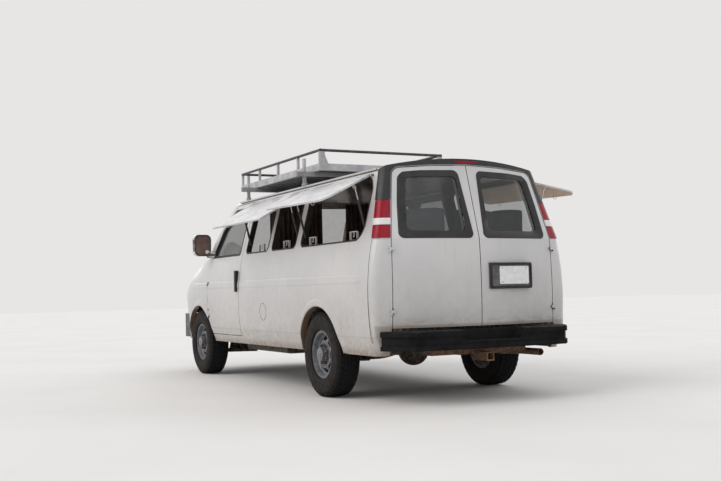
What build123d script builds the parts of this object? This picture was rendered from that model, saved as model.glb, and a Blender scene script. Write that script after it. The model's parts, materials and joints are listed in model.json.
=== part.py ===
from build123d import *

import os
from math import atan2, cos, degrees, hypot, radians, sin

os.makedirs("parts", exist_ok=True)

# Camper van, full size, in millimetres.
# X points to the vehicle's left, Y to its rear and Z up. The floor is Z = 0.

# Driving dimensions
WHEELBASE = 3429
FRONT_AXLE_Y = -1965
REAR_AXLE_Y = FRONT_AXLE_Y + WHEELBASE
NOSE_Y = -2845
TAIL_Y = 2845
HALF_WIDTH = 1003
DOOR_GAP = 7
FLANGE_T = 10
REBATE = 20
SEAT_GAP = 0.3
WALL = 55
SKIN = 25

# Heights of the body's main lines
ROCKER_Z = 412
CREASE_Z = 566
WIDEST_Z = 900
BELT_Z = 1390
EAVE_Z = 1990
ROOF_TOP_Z = 2085
DOOR_BOTTOM_Z = 500
REAR_DOOR_BOTTOM_Z = 640
FLOOR_Z = 640
FLOOR_T = 30

# Places along the body
COWL_SEAM_Y = -1640
B_SEAM_Y = -588
SIDE_DOOR_FRONT_Y = -523
SIDE_DOOR_MID_Y = 190
SIDE_DOOR_REAR_Y = 908

# Wheels
TYRE_R = 387
TYRE_W = 245
RIM_R = 203
RIM_LIP_R = 219
RIM_W = 178
FRONT_TRACK = 1742
REAR_TRACK = 1730
LUGS = 8
LUG_CIRCLE_R = 83
SLOTS = 8
ARCH_R = 440
KINGPIN_X = 790

# Awning flaps
FLAP_HINGE_X = 818
FLAP_HINGE_Z = 1950
FLAP_CLOSED_SLOPE = 75.3
FLAP_T = 16
PIN_R = 4
PIN_CLEARANCE = 0.3

# Plan sections of the cabin: height, half width, tail on the centre line
ROCKER_SECTIONS = (
    (ROCKER_Z, 942, 2600),
    (CREASE_Z, 986, 2640),
)
LOWER_SECTIONS = (
    (CREASE_Z, 986, 2640),
    (WIDEST_Z, HALF_WIDTH, 2655),
    (1160, 985, 2652),
    (BELT_Z, 944, 2640),
)
# Plan sections of the greenhouse: height, half width, tail, front corner, windscreen centre
GREENHOUSE_SECTIONS = (
    (BELT_Z, 944, 2640, -1775, -1950),
    (1700, 863, 2550, -1560, -1705),
    (2100, 758, 2434, -1010, -1110),
)
TAIL_BOW = 85
TAIL_BOW_AT = 800
TAIL_CORNER_R = 90
FRONT_CORNER_R = 60
ROOF_EDGE_Z = 2003
# Rounded shoulder of the roof: the crown's end, the bend's middle and the foot just outside the side
ROOF_SHOULDER = ((731, 2013.2), (773.8, 1992.8), (799.7, 1956.6))
SHOULDER_SPREAD = 0.27
ROOF_FRONT_Y = -1235

# Cross sections of the front end:
# place, lower half width, widest half width and height, shoulder, crown, centre height
NOSE_SECTIONS = (
    (COWL_SEAM_Y, 986, 1003, 900, 978, 1180, 944, 1382, 1386),
    (-1965, 982, 1000, 890, 974, 1160, 918, 1344, 1380),
    (-2417, 950, 972, 870, 950, 1110, 850, 1272, 1322),
    (-2650, 905, 928, 850, 908, 1060, 795, 1205, 1256),
    (-2780, 830, 850, 840, 834, 1010, 730, 1120, 1160),
)


def save(builder, label):
    builder.part.label = label
    export_step(builder.part, f"parts/{label}.step")


def prism(plane, outline, near, far, mode=Mode.ADD, rounds=()):
    """A flat outline drawn out between two distances along its plane's normal.
    rounds holds (corner, radius) pairs."""
    with BuildSketch(plane.offset(near)) as face:
        with BuildLine():
            Polyline(*outline, close=True)
        make_face()
        for corner, radius in rounds:
            fillet(face.vertices().sort_by_distance(corner)[0], radius)
    extrude(face.sketch, amount=far - near, mode=mode)


def block(low, high, mode=Mode.ADD):
    """A box between two corners."""
    size = [h - l for l, h in zip(low, high)]
    middle = [(h + l) / 2 for l, h in zip(low, high)]
    with Locations(tuple(middle)):
        Box(*size, mode=mode)


def rod(start, end, radius, mode=Mode.ADD):
    """A round bar between two points."""
    axis = Vector(*end) - Vector(*start)
    with BuildSketch(Plane(origin=start, z_dir=axis)) as face:
        Circle(radius)
    extrude(face.sketch, amount=axis.length, mode=mode)


def bar(start, end, width, height, mode=Mode.ADD):
    """A square bar between two points."""
    axis = Vector(*end) - Vector(*start)
    side = (0, 0, 1) if abs(axis.Z) < 0.9 * axis.length else (0, 1, 0)
    with BuildSketch(Plane(origin=start, x_dir=axis.cross(Vector(*side)), z_dir=axis)) as face:
        Rectangle(width, height)
    extrude(face.sketch, amount=axis.length, mode=mode)


def body_plan(z, half, tail, front, front_bow=0, front_r=0):
    """Plan of the body at one height: flat sides, bowed tail and front."""
    bow = TAIL_BOW * (half / TAIL_BOW_AT) ** 2
    corner = tail - bow
    with BuildSketch(Plane.XY.offset(z)) as plan:
        with BuildLine():
            Line((half, front), (half, corner))
            ThreePointArc((half, corner), (0, tail), (-half, corner))
            Line((-half, corner), (-half, front))
            if front_bow:
                ThreePointArc((-half, front), (0, front - front_bow), (half, front))
            else:
                Line((-half, front), (half, front))
        make_face()
        fillet(plan.vertices().filter_by_position(Axis.Y, corner - 1, corner + 1), TAIL_CORNER_R)
        if front_r:
            fillet(plan.vertices().filter_by_position(Axis.Y, front - 1, front + 1), front_r)
    return plan.sketch


def greenhouse(inset, roof_inset):
    """The closed form above the belt line: three plan sections under a crowned roof."""
    low_z = BELT_Z - 10
    top_z = ROOF_TOP_Z - roof_inset
    flat_z = top_z + 3
    brow = (ROOF_FRONT_Y + inset, ROOF_EDGE_Z + 3 - roof_inset)
    crown, bend, foot = ((x - inset, z - roof_inset) for x, z in ROOF_SHOULDER)
    foot = (foot[0] + SHOULDER_SPREAD * roof_inset, foot[1])
    with BuildPart() as form:
        loft([
            body_plan(z, half - inset, tail - inset, corner + inset, corner - centre, FRONT_CORNER_R)
            for z, half, tail, corner, centre in GREENHOUSE_SECTIONS
        ])
        with BuildSketch(Plane.XZ.offset(-3000)):
            with BuildLine():
                ThreePointArc((-crown[0], crown[1]), (0, top_z), crown)
                ThreePointArc(crown, bend, foot)
                Polyline(foot, (1200, foot[1]), (1200, low_z), (-1200, low_z), (-1200, foot[1]), (-foot[0], foot[1]))
                ThreePointArc((-foot[0], foot[1]), (-bend[0], bend[1]), (-crown[0], crown[1]))
            make_face()
        extrude(amount=6000, mode=Mode.INTERSECT)
        with BuildSketch(Plane.YZ.offset(-1500)):
            with BuildLine():
                ThreePointArc(brow, (-1000, top_z - 23), (-560, flat_z))
                Polyline((-560, flat_z), (3000, flat_z), (3000, low_z), (-2300, low_z), (-2300, brow[1]), brow)
            make_face()
        extrude(amount=3000, mode=Mode.INTERSECT)
    return form.part


def cabin(inset, roof_inset):
    """The cabin's closed form, drawn in by an inset all round."""
    open_end = 60 if inset > 0 else 0
    front = COWL_SEAM_Y - open_end
    with BuildPart() as form:
        loft([
            body_plan(z - (open_end if z == ROCKER_Z else 0), half - inset, tail - inset, front)
            for z, half, tail in ROCKER_SECTIONS
        ], ruled=True)
        loft([body_plan(z, half - inset, tail - inset, front) for z, half, tail in LOWER_SECTIONS])
    return form.part + greenhouse(inset, roof_inset)


def nose(inset):
    """The front end's closed form, drawn in by an inset, from the cowl seam forward."""
    sections = []
    for index, row in enumerate(NOSE_SECTIONS):
        y, low, wide, wide_z, shoulder, shoulder_z, crown, crown_z, centre_z = row
        if inset and index == 0:
            y += 10
        if inset and index == len(NOSE_SECTIONS) - 1:
            y += inset
        base = (low - inset, ROCKER_Z - (60 if inset else 0))
        side = (wide - inset, wide_z)
        bend = (shoulder - inset, shoulder_z)
        edge = (crown - inset, crown_z - inset)
        with BuildSketch(Plane.XZ.offset(-y)) as section:
            with BuildLine():
                Line(base, side)
                ThreePointArc(side, bend, edge)
                ThreePointArc(edge, (0, centre_z - inset), (-edge[0], edge[1]))
                ThreePointArc((-edge[0], edge[1]), (-bend[0], bend[1]), (-side[0], side[1]))
                Line((-side[0], side[1]), (-base[0], base[1]))
                Line((-base[0], base[1]), base)
            make_face()
        sections.append(section.sketch)
    with BuildPart() as form:
        loft(sections)
    return form.part


def mirrored(builder, label):
    """The same piece on the other side."""
    with BuildPart() as twin:
        mirror(builder.part, about=Plane.YZ)
    save(twin, label)
    return twin


# Body forms
cabin_outer = cabin(0, 0)
cabin_inner = cabin(WALL, SKIN)
cabin_flange = cabin(FLANGE_T, FLANGE_T)
fixed_glass = greenhouse(6, 6) - greenhouse(11, 11)
door_glass = greenhouse(26, 26) - greenhouse(31, 31)
outer_trim = greenhouse(-9, -9) - greenhouse(-0.3, -0.3)
nose_outer = nose(0)
nose_inner = nose(SKIN)
cabin_shell = cabin_outer - cabin_inner
nose_shell = nose_outer - nose_inner

# Openings of the body, as outlines
# Left windows: front edge, rear edge, corner radii front and rear
WINDOWS = (
    (-482, 133, 35, 35),
    (248, 844, 35, 35),
    (981, 2277, 45, 110),
)
SILL_Z = 1396
LINTEL_Z = 1936
HALF_GAP = DOOR_GAP / 2
DOOR_TOP_Z = 1962
FRONT_DOOR = (
    (COWL_SEAM_Y + HALF_GAP, DOOR_BOTTOM_Z),
    (B_SEAM_Y - HALF_GAP, DOOR_BOTTOM_Z),
    (B_SEAM_Y - HALF_GAP, DOOR_TOP_Z),
    (-1085, DOOR_TOP_Z),
    (-1445, 1700),
    (COWL_SEAM_Y + HALF_GAP, 1400),
)
FRONT_WINDOW = (
    (-1575, 1392),
    (-668, 1392),
    (-668, 1905),
    (-1110, 1905),
    (-1405, 1690),
)
REAR_DOOR = (
    (HALF_GAP, REAR_DOOR_BOTTOM_Z),
    (819, REAR_DOOR_BOTTOM_Z),
    (811, 1381),
    (752, 1740),
    (706, 1992),
    (350, 2020),
    (HALF_GAP, 2031),
)
DOOR_CORNER_R = 80
REAR_DOOR_HOLE = (
    (-826, 628),
    (826, 628),
    (818, 1381),
    (759, 1742),
    (713.5, 1999),
    (350, 2027),
    (0, 2038),
    (-350, 2027),
    (-713.5, 1999),
    (-759, 1742),
    (-818, 1381),
)
HOLE_ROUNDS = [((713.5, 1999), DOOR_CORNER_R + DOOR_GAP), ((-713.5, 1999), DOOR_CORNER_R + DOOR_GAP)]
REAR_WINDOW = (
    (118, 1450),
    (668, 1452),
    (637, 1700),
    (596, 1918),
    (124, 1930),
)


def rebate(low, high):
    """Takes the inner part of a door's free edge back, behind a thin outer flange."""
    with BuildPart(mode=Mode.PRIVATE) as core:
        add(cabin_flange)
        block(low, high, Mode.INTERSECT)
    add(core.part, mode=Mode.SUBTRACT)


def wheel_arches():
    """The round cut-outs over the wheels, through both sides."""
    for axle_y in (FRONT_AXLE_Y, REAR_AXLE_Y):
        rod((-1100, axle_y, TYRE_R), (1100, axle_y, TYRE_R), ARCH_R, Mode.SUBTRACT)


# Side panels, with the rear corners
def side_panel(hand):
    """One side of the body from the centre pillar back. hand is 1 on the left and -1 on the right."""
    near, far = (1, 1100) if hand > 0 else (-1, -1100)
    with BuildPart() as panel:
        add(cabin_shell)
        outline = (
            (COWL_SEAM_Y, ROCKER_Z - 5),
            (2700, ROCKER_Z - 5),
            (2700, EAVE_Z),
            (B_SEAM_Y + HALF_GAP, EAVE_Z),
            (B_SEAM_Y + HALF_GAP, DOOR_BOTTOM_Z - DOOR_GAP),
            (COWL_SEAM_Y, DOOR_BOTTOM_Z - DOOR_GAP),
        )
        prism(Plane.YZ, outline, near, far, Mode.INTERSECT)
        wheel_arches()
        prism(Plane.XZ, REAR_DOOR_HOLE, -2700, -2300, Mode.SUBTRACT, HOLE_ROUNDS)
        block((-830, 2380, 300), (830, 2700, 640), Mode.SUBTRACT)
        for front, rear, front_r, rear_r in WINDOWS[(0 if hand > 0 else 2):]:
            corners = ((front, SILL_Z), (rear, SILL_Z), (rear, LINTEL_Z), (front, LINTEL_Z))
            radii = (front_r, rear_r, rear_r, front_r)
            prism(Plane.YZ, corners, near, far, Mode.SUBTRACT, zip(corners, radii))
        if hand < 0:
            low = DOOR_BOTTOM_Z - DOOR_GAP
            doorway = (
                (SIDE_DOOR_FRONT_Y - DOOR_GAP, low),
                (SIDE_DOOR_REAR_Y + DOOR_GAP, low),
                (SIDE_DOOR_REAR_Y + DOOR_GAP, DOOR_TOP_Z + DOOR_GAP),
                (SIDE_DOOR_FRONT_Y - DOOR_GAP, DOOR_TOP_Z + DOOR_GAP),
            )
            prism(Plane.YZ, doorway, near, far, Mode.SUBTRACT)
        # Hinge pins of the flaps on their brackets
        for front, rear, *_ in FLAPS[:2] if hand > 0 else FLAPS[2:]:
            pin_ends = (front - 22, rear + 22)
            rod(
                (hand * FLAP_HINGE_X, pin_ends[0], FLAP_HINGE_Z),
                (hand * FLAP_HINGE_X, pin_ends[1], FLAP_HINGE_Z),
                PIN_R,
            )
            for y in pin_ends:
                near_x, far_x = sorted((hand * 780, hand * (FLAP_HINGE_X + 8)))
                block((near_x, y - 8, FLAP_HINGE_Z - 8), (far_x, y + 8, FLAP_HINGE_Z + 8))
        # Pins of the struts on the window jambs
        for y, jamb_y in STRUTS if hand > 0 else STRUTS[2:]:
            rod((hand * STRUT_X, y - 8, STRUT_Z), (hand * STRUT_X, jamb_y, STRUT_Z), PIN_R)
            rod((hand * STRUT_X, y + 8, STRUT_Z), (hand * STRUT_X, jamb_y, STRUT_Z), PIN_R)
        # Striker on the centre pillar for the front door
        near_x, far_x = sorted((hand * 970, hand * 988))
        block((near_x, B_SEAM_Y - HALF_GAP + SEAT_GAP, 1050), (far_x, B_SEAM_Y + 20, 1080))
        # Rear door hinge pins on short lugs
        for z in REAR_HINGE_ZS:
            near_x, far_x = sorted((hand * (REAR_HINGE_X - 4), hand * (REAR_HINGE_X + 12)))
            top_z = z - HINGE_LUG - SEAT_GAP
            block((near_x, REAR_HINGE_Y - 50, top_z - 12), (far_x, REAR_HINGE_Y + 6.5, top_z))
            rod(
                (hand * REAR_HINGE_X, REAR_HINGE_Y, top_z - 5),
                (hand * REAR_HINGE_X, REAR_HINGE_Y, z + HINGE_LUG),
                PIN_R,
            )
        if hand < 0:
            # Hinge pins of the side doors on lugs
            for y, back in ((SIDE_HINGE_FRONT_Y, -1), (SIDE_HINGE_REAR_Y, 1)):
                for z in SIDE_HINGE_ZS:
                    low_y, high_y = sorted((y - 8 * back, y + 30 * back))
                    block(
                        (-SIDE_HINGE_X - 8, low_y, z - 40), (-SIDE_HINGE_X + 8, high_y, z - 20 - SEAT_GAP)
                    )
                    low_y, high_y = sorted((y + 8 * back, y + 30 * back))
                    block((-SIDE_HINGE_X, low_y, z - 40), (-950, high_y, z - 20 - SEAT_GAP))
                    rod((-SIDE_HINGE_X, y, z - 25), (-SIDE_HINGE_X, y, z + 20), PIN_R)
    return panel


# Side door hinges: axes and heights
SIDE_HINGE_X = 1014
SIDE_HINGE_FRONT_Y = SIDE_DOOR_FRONT_Y - 7
SIDE_HINGE_REAR_Y = SIDE_DOOR_REAR_Y + 7
SIDE_HINGE_ZS = (700, 1250)

# Left front, left rear and right rear flap: front edge, rear edge at the hinge, droop below level as
# it stands open, depth at the front and at the rear, how far the rear edge slants, rear corner radius
FLAPS = (
    (-510, 880, 30, 580, 580, 0, 25),
    (945, 2215, 24, 500, 602, 200, 70),
    (945, 2215, 12, 470, 567, 110, 110),
)
# Struts of both flaps: place, and the window jamb that carries it
STRUTS = (
    (-464, -490),
    (826, 850),
    (999, 975),
    (2250, 2285),
)
STRUT_Z = 1480
STRUT_X = 944 - 0.262 * (STRUT_Z - BELT_Z) - 28
STRUT_ON_FLAP = 200
STRUT_BELOW_FLAP = 32
STRUT_CLOSED_L = 274
BARREL_L = STRUT_CLOSED_L - 14
ROD_L = STRUT_CLOSED_L - 16
BARREL_R = 11
STRUT_ROD_R = 5

# Rear door hinges: axis and heights
REAR_HINGE_X = 835
REAR_HINGE_Y = 2578
REAR_HINGE_ZS = (780, 1300)
HINGE_LUG = 12

side_left = side_panel(1)
save(side_left, "side_left")
side_right = side_panel(-1)
save(side_right, "side_right")

# Roof with the windscreen pillars
WINDSCREEN = (
    (-868, 1404),
    (868, 1404),
    (790, 1700),
    (712, 1968),
    (-712, 1968),
    (-790, 1700),
)
with BuildPart() as roof:
    add(cabin_shell)
    outline = (
        (-2300, BELT_Z + 0.5),
        (COWL_SEAM_Y - HALF_GAP, BELT_Z + 0.5),
        (COWL_SEAM_Y - HALF_GAP, 1404),
        (-1450, 1707),
        (-1088, DOOR_TOP_Z + DOOR_GAP),
        (B_SEAM_Y + HALF_GAP, DOOR_TOP_Z + DOOR_GAP),
        (B_SEAM_Y + HALF_GAP, EAVE_Z),
        (2700, EAVE_Z),
        (2700, 2200),
        (-2300, 2200),
    )
    prism(Plane.YZ, outline, -1100, 1100, Mode.INTERSECT)
    prism(Plane.XZ, WINDSCREEN, 1000, 2300, Mode.SUBTRACT, [(c, 45) for c in WINDSCREEN if c[1] != 1700])
    prism(Plane.XZ, REAR_DOOR_HOLE, -2700, -2300, Mode.SUBTRACT, HOLE_ROUNDS)
    for hand in (1, -1):
        rail = (
            (hand * 752, 1994),
            (hand * 796, 1990.3),
            (hand * 800, 2006),
            (hand * 796, 2006),
            (hand * 793, 1996),
            (hand * 756, 2000),
        )
        prism(Plane.XZ, rail, -2290, 1040)
save(roof, "roof")

# Windscreen
with BuildPart() as windscreen:
    add(fixed_glass)
    inset = [
        (x - 0.4 * (1 if x > 0 else -1), z + (0.4 if z == 1404 else -0.4 if z == 1968 else 0))
        for x, z in WINDSCREEN
    ]
    prism(Plane.XZ, inset, 1000, 2300, Mode.INTERSECT, [(c, 45) for c in inset if c[1] != 1700])
save(windscreen, "windscreen")

# Front doors
HINGE_X = HALF_WIDTH + 3
FRONT_HINGE_ZS = (770, 1080)
KNUCKLE_R = 6.5
with BuildPart() as door_left:
    add(cabin_shell)
    prism(Plane.YZ, FRONT_DOOR, 1, 1100, Mode.INTERSECT)
    rebate((500, B_SEAM_Y - REBATE, 300), (1100, B_SEAM_Y + 50, 2100))
    prism(
        Plane.YZ,
        FRONT_WINDOW,
        1,
        1100,
        Mode.SUBTRACT,
        [(FRONT_WINDOW[0], 20), (FRONT_WINDOW[1], 30), (FRONT_WINDOW[2], 40), (FRONT_WINDOW[3], 60)],
    )
    wheel_arches()
    # Upright pull handle near the rear edge
    block((985, -668, 985), (1022, -634, 1205))
    block((960, -664, 1010), (1008, -638, 1180), Mode.SUBTRACT)
    # Mirror: arm from the window's front corner and an upright head
    bar((925, -1560, 1420), (1010, -1610, 1430), 60, 64)
    head = ((976, 1410), (1170, 1410), (1180, 1662), (970, 1662))
    prism(Plane.XZ, head, 1575, 1655, rounds=[(c, 55) for c in head])
    # Hinge knuckles that turn on the fender's pins
    for z in FRONT_HINGE_ZS:
        rod((HINGE_X, COWL_SEAM_Y, z - 22), (HINGE_X, COWL_SEAM_Y, z + 22), KNUCKLE_R + 2, Mode.SUBTRACT)
        rod((HINGE_X, COWL_SEAM_Y, z + SEAT_GAP), (HINGE_X, COWL_SEAM_Y, z + 20), KNUCKLE_R)
        block((985, COWL_SEAM_Y + 4, z + SEAT_GAP), (HINGE_X + 4, COWL_SEAM_Y + 22, z + 20))
        rod(
            (HINGE_X, COWL_SEAM_Y, z - 1),
            (HINGE_X, COWL_SEAM_Y, z + 21),
            PIN_R + PIN_CLEARANCE,
            Mode.SUBTRACT,
        )
save(door_left, "door_left")
door_right = mirrored(door_left, "door_right")

with BuildPart() as door_glass_left:
    add(door_glass)
    pane = [(-1574, 1392.4), (-668.4, 1392.4), (-668.4, 1904.6), (-1110, 1904.6), (-1404.6, 1689.7)]
    prism(
        Plane.YZ,
        pane,
        1,
        1100,
        Mode.INTERSECT,
        [(pane[0], 20), (pane[1], 30), (pane[2], 40), (pane[3], 60)],
    )
save(door_glass_left, "door_glass_left")
door_glass_right = mirrored(door_glass_left, "door_glass_right")


# Side doors on the right, hinged at their outer edges
def side_leaf(front, rear, free_edge, hinge_y, window, label):
    with BuildPart() as leaf:
        add(cabin_shell)
        corners = (
            (front, DOOR_BOTTOM_Z),
            (rear, DOOR_BOTTOM_Z),
            (rear, DOOR_TOP_Z),
            (front, DOOR_TOP_Z),
        )
        prism(Plane.YZ, corners, -1, -1100, Mode.INTERSECT)
        rebate((-1100, free_edge - REBATE, 300), (-500, free_edge + REBATE, 2100))
        edge_front, edge_rear = window
        hole = (
            (edge_front, SILL_Z + 10),
            (edge_rear, SILL_Z + 10),
            (edge_rear, LINTEL_Z - 30),
            (edge_front, LINTEL_Z - 30),
        )
        prism(Plane.YZ, hole, -1, -1100, Mode.SUBTRACT, [(c, 40) for c in hole])
        inward = 1 if free_edge > hinge_y else -1
        for z in SIDE_HINGE_ZS:
            low_y, high_y = sorted((hinge_y - 8 * inward, hinge_y + 22 * inward))
            block((-SIDE_HINGE_X - 8, low_y, z - 20), (-SIDE_HINGE_X + 8, high_y, z + 20))
            low_y, high_y = sorted((hinge_y + 10 * inward, hinge_y + 22 * inward))
            block((-SIDE_HINGE_X, low_y, z - 20), (-950, high_y, z + 20))
            rod(
                (-SIDE_HINGE_X, hinge_y, z - 21),
                (-SIDE_HINGE_X, hinge_y, z + 21),
                PIN_R + PIN_CLEARANCE,
                Mode.SUBTRACT,
            )
    save(leaf, label)
    with BuildPart() as pane:
        add(door_glass)
        inner = (
            (edge_front + 0.4, SILL_Z + 10.4),
            (edge_rear - 0.4, SILL_Z + 10.4),
            (edge_rear - 0.4, LINTEL_Z - 30.4),
            (edge_front + 0.4, LINTEL_Z - 30.4),
        )
        prism(Plane.YZ, inner, -1, -1100, Mode.INTERSECT, [(c, 40) for c in inner])
    save(pane, label + "_glass")


side_leaf(
    SIDE_DOOR_FRONT_Y,
    SIDE_DOOR_MID_Y - HALF_GAP,
    SIDE_DOOR_MID_Y,
    SIDE_HINGE_FRONT_Y,
    (-440, 110),
    "side_door_front",
)
side_leaf(
    SIDE_DOOR_MID_Y + HALF_GAP,
    SIDE_DOOR_REAR_Y,
    SIDE_DOOR_MID_Y,
    SIDE_HINGE_REAR_Y,
    (272, 826),
    "side_door_rear",
)

# Rear doors
with BuildPart() as rear_door_left:
    add(cabin_shell)
    prism(Plane.XZ, REAR_DOOR, -2700, -2300, Mode.INTERSECT, [(REAR_DOOR[4], DOOR_CORNER_R)])
    rebate((-20, 2300, 600), (REBATE, 2700, 2100))
    # Lugs that turn on the hinge pins
    for z in REAR_HINGE_ZS:
        block(
            (REAR_HINGE_X - 36, REAR_HINGE_Y - 50, z - HINGE_LUG),
            (REAR_HINGE_X + 6.5, REAR_HINGE_Y + 6.5, z + HINGE_LUG),
        )
        rod(
            (REAR_HINGE_X, REAR_HINGE_Y, z - 20),
            (REAR_HINGE_X, REAR_HINGE_Y, z + 20),
            PIN_R + PIN_CLEARANCE,
            Mode.SUBTRACT,
        )
        block((811, 2400, z - 32), (REAR_HINGE_X + 30, REAR_HINGE_Y - 9, z + 32), Mode.SUBTRACT)
    prism(Plane.XZ, REAR_WINDOW, -2700, -2300, Mode.SUBTRACT, [(c, 35) for c in REAR_WINDOW if c[1] != 1700])
save(rear_door_left, "rear_door_left")
rear_door_right = mirrored(rear_door_left, "rear_door_right")

with BuildPart() as rear_glass_left:
    add(fixed_glass)
    pane = ((118.4, 1450.4), (667.6, 1452.4), (636.6, 1699.9), (595.6, 1917.6), (124.4, 1929.6))
    prism(Plane.XZ, pane, -2700, -2300, Mode.INTERSECT, [(c, 35) for c in pane if c[1] != 1699.9])
save(rear_glass_left, "rear_glass_left")
rear_glass_right = mirrored(rear_glass_left, "rear_glass_right")

# Tail lamps wrap the rear corners
LAMP_LOW_Z = 1392
LAMP_HIGH_Z = 1713
BRAKE_LAMP = ((-84, 2053), (84, 2053), (126, 2074), (-126, 2074))
BRAKE_LAMP_HOLE = ((-85, 2052.6), (85, 2052.6), (127.2, 2074.4), (-127.2, 2074.4))
with BuildPart() as tail_lamps:
    add(outer_trim)
    face = ((823, LAMP_LOW_Z), (1100, LAMP_LOW_Z), (1100, LAMP_HIGH_Z), (772, LAMP_HIGH_Z))
    prism(Plane.XZ, face, -2700, -2300, Mode.INTERSECT)
    side = ((2466, 1370), (2700, 1370), (2700, 1730), (2386, 1730))
    prism(Plane.YZ, side, 500, 1100, Mode.INTERSECT)
    mirror(about=Plane.YZ)
    with BuildPart(mode=Mode.PRIVATE) as middle:
        add(outer_trim)
        prism(Plane.XZ, BRAKE_LAMP, -2700, -2300, Mode.INTERSECT)
    add(middle.part)
save(tail_lamps, "tail_lamps")

# Dark trim on the rear corners and above the rear doors
with BuildPart() as rear_trim:
    add(outer_trim)
    trim = (
        (-770, LAMP_HIGH_Z + 3),
        (-719, 2005),
        (-350, 2034),
        (0, 2045),
        (350, 2034),
        (719, 2005),
        (770, LAMP_HIGH_Z + 3),
        (1100, LAMP_HIGH_Z + 3),
        (1100, 2200),
        (-1100, 2200),
        (-1100, LAMP_HIGH_Z + 3),
    )
    round_r = DOOR_CORNER_R + 13
    prism(Plane.XZ, trim, -2700, -2200, Mode.INTERSECT, [(trim[1], round_r), (trim[5], round_r)])
    side = ((2386, 1700), (2700, 1700), (2700, 2110), (2345, 2110), (2322, 1990))
    prism(Plane.YZ, side, -1100, 1100, Mode.INTERSECT)
    prism(Plane.XZ, BRAKE_LAMP_HOLE, -2700, -2300, Mode.SUBTRACT)
save(rear_trim, "rear_trim")

# Front end: fenders with the cowl, hood, grille panel
HOOD = ((-690, -2730), (690, -2730), (832, -2012), (832, -1963), (-832, -1963), (-832, -2012))
HOOD_HOLE = ((-697, -2744), (697, -2744), (849, -1949), (-849, -1949))
HOOD_HINGE_X = 560
HOOD_HINGE_Y = -1957
HOOD_HINGE_Z = 1370
with BuildPart() as hood:
    add(nose_shell)
    prism(Plane.XY, HOOD, 1140, 1500, Mode.INTERSECT)
    for x in (HOOD_HINGE_X, -HOOD_HINGE_X):
        # Notches over the hinge lugs
        for near in (x - 25, x + 9):
            block((near, -1972, 1340), (near + 16, -1950, 1400), Mode.SUBTRACT)
        block((x - 8, HOOD_HINGE_Y - 30, HOOD_HINGE_Z - 8), (x + 8, HOOD_HINGE_Y + 8, HOOD_HINGE_Z + 8))
        rod(
            (x - 9, HOOD_HINGE_Y, HOOD_HINGE_Z),
            (x + 9, HOOD_HINGE_Y, HOOD_HINGE_Z),
            PIN_R + PIN_CLEARANCE,
            Mode.SUBTRACT,
        )
save(hood, "hood")

with BuildPart() as fenders:
    add(nose_shell)
    prism(Plane.XY, HOOD_HOLE, 1100, 1500, Mode.SUBTRACT)
    block((-1100, -3000, 300), (1100, -2700, 1500), Mode.SUBTRACT)
    block((-1100, COWL_SEAM_Y - 3, 300), (1100, -1000, 1500), Mode.SUBTRACT)
    block((-868, -1760, 1300), (868, -1600, 1500), Mode.SUBTRACT)
    block((-1100, -2800, 300), (1100, -2508, 728), Mode.SUBTRACT)
    # Hood hinge pins on the cowl
    for x in (HOOD_HINGE_X, -HOOD_HINGE_X):
        block((x - 14, -1960, 1330), (x + 14, HOOD_HINGE_Y + 22, 1400), Mode.SUBTRACT)
        for near in (x - 20, x + 12):
            block(
                (near, HOOD_HINGE_Y - 5, HOOD_HINGE_Z - 8), (near + 8, HOOD_HINGE_Y + 30, HOOD_HINGE_Z + 6)
            )
        rod((x - 15, HOOD_HINGE_Y, HOOD_HINGE_Z), (x + 15, HOOD_HINGE_Y, HOOD_HINGE_Z), PIN_R)
    # Radiator support that stands on the frame
    block((-880, -2640, 728), (880, -2620, 1120))
    block((-560, -2640, 600 + SEAT_GAP), (560, -2620, 730))
    block((-300, -2650, 700), (300, -2600, 1060), Mode.SUBTRACT)
    wheel_arches()
    # Pins of the front doors' hinges
    for hand in (1, -1):
        for z in FRONT_HINGE_ZS:
            near_x, far_x = sorted((hand * 985, hand * (HINGE_X + 4)))
            block((near_x, COWL_SEAM_Y - 22, z - 20), (far_x, COWL_SEAM_Y - 4, z))
            rod((hand * HINGE_X, COWL_SEAM_Y, z - 20), (hand * HINGE_X, COWL_SEAM_Y, z), KNUCKLE_R)
            rod((hand * HINGE_X, COWL_SEAM_Y, z - 20), (hand * HINGE_X, COWL_SEAM_Y, z + 18), PIN_R)
save(fenders, "fenders")

with BuildPart() as grille:
    add(nose_outer)
    block((-1100, -2700 - SEAT_GAP, 300), (1100, -1000, 1500), Mode.SUBTRACT)
    prism(Plane.XY, HOOD_HOLE, 1100, 1500, Mode.SUBTRACT)
    block((-1100, -3000, 300), (1100, -2600, 735), Mode.SUBTRACT)
    block((-560, -2800, 800), (560, -2730, 1080), Mode.SUBTRACT)
    for hand in (1, -1):
        block(
            (min(hand * 590, hand * 900), -2800, 840),
            (max(hand * 590, hand * 900), -2730, 1060),
            Mode.SUBTRACT,
        )
    for row in range(5):
        block((-560, -2765, 830 + 50 * row), (560, -2729, 850 + 50 * row))
save(grille, "grille")

with BuildPart() as headlamps:
    add(nose_outer)
    block((590.3, -2790, 840.3), (900, -2730.3, 1059.7), Mode.INTERSECT)
    mirror(about=Plane.YZ)
save(headlamps, "headlamps")


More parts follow.
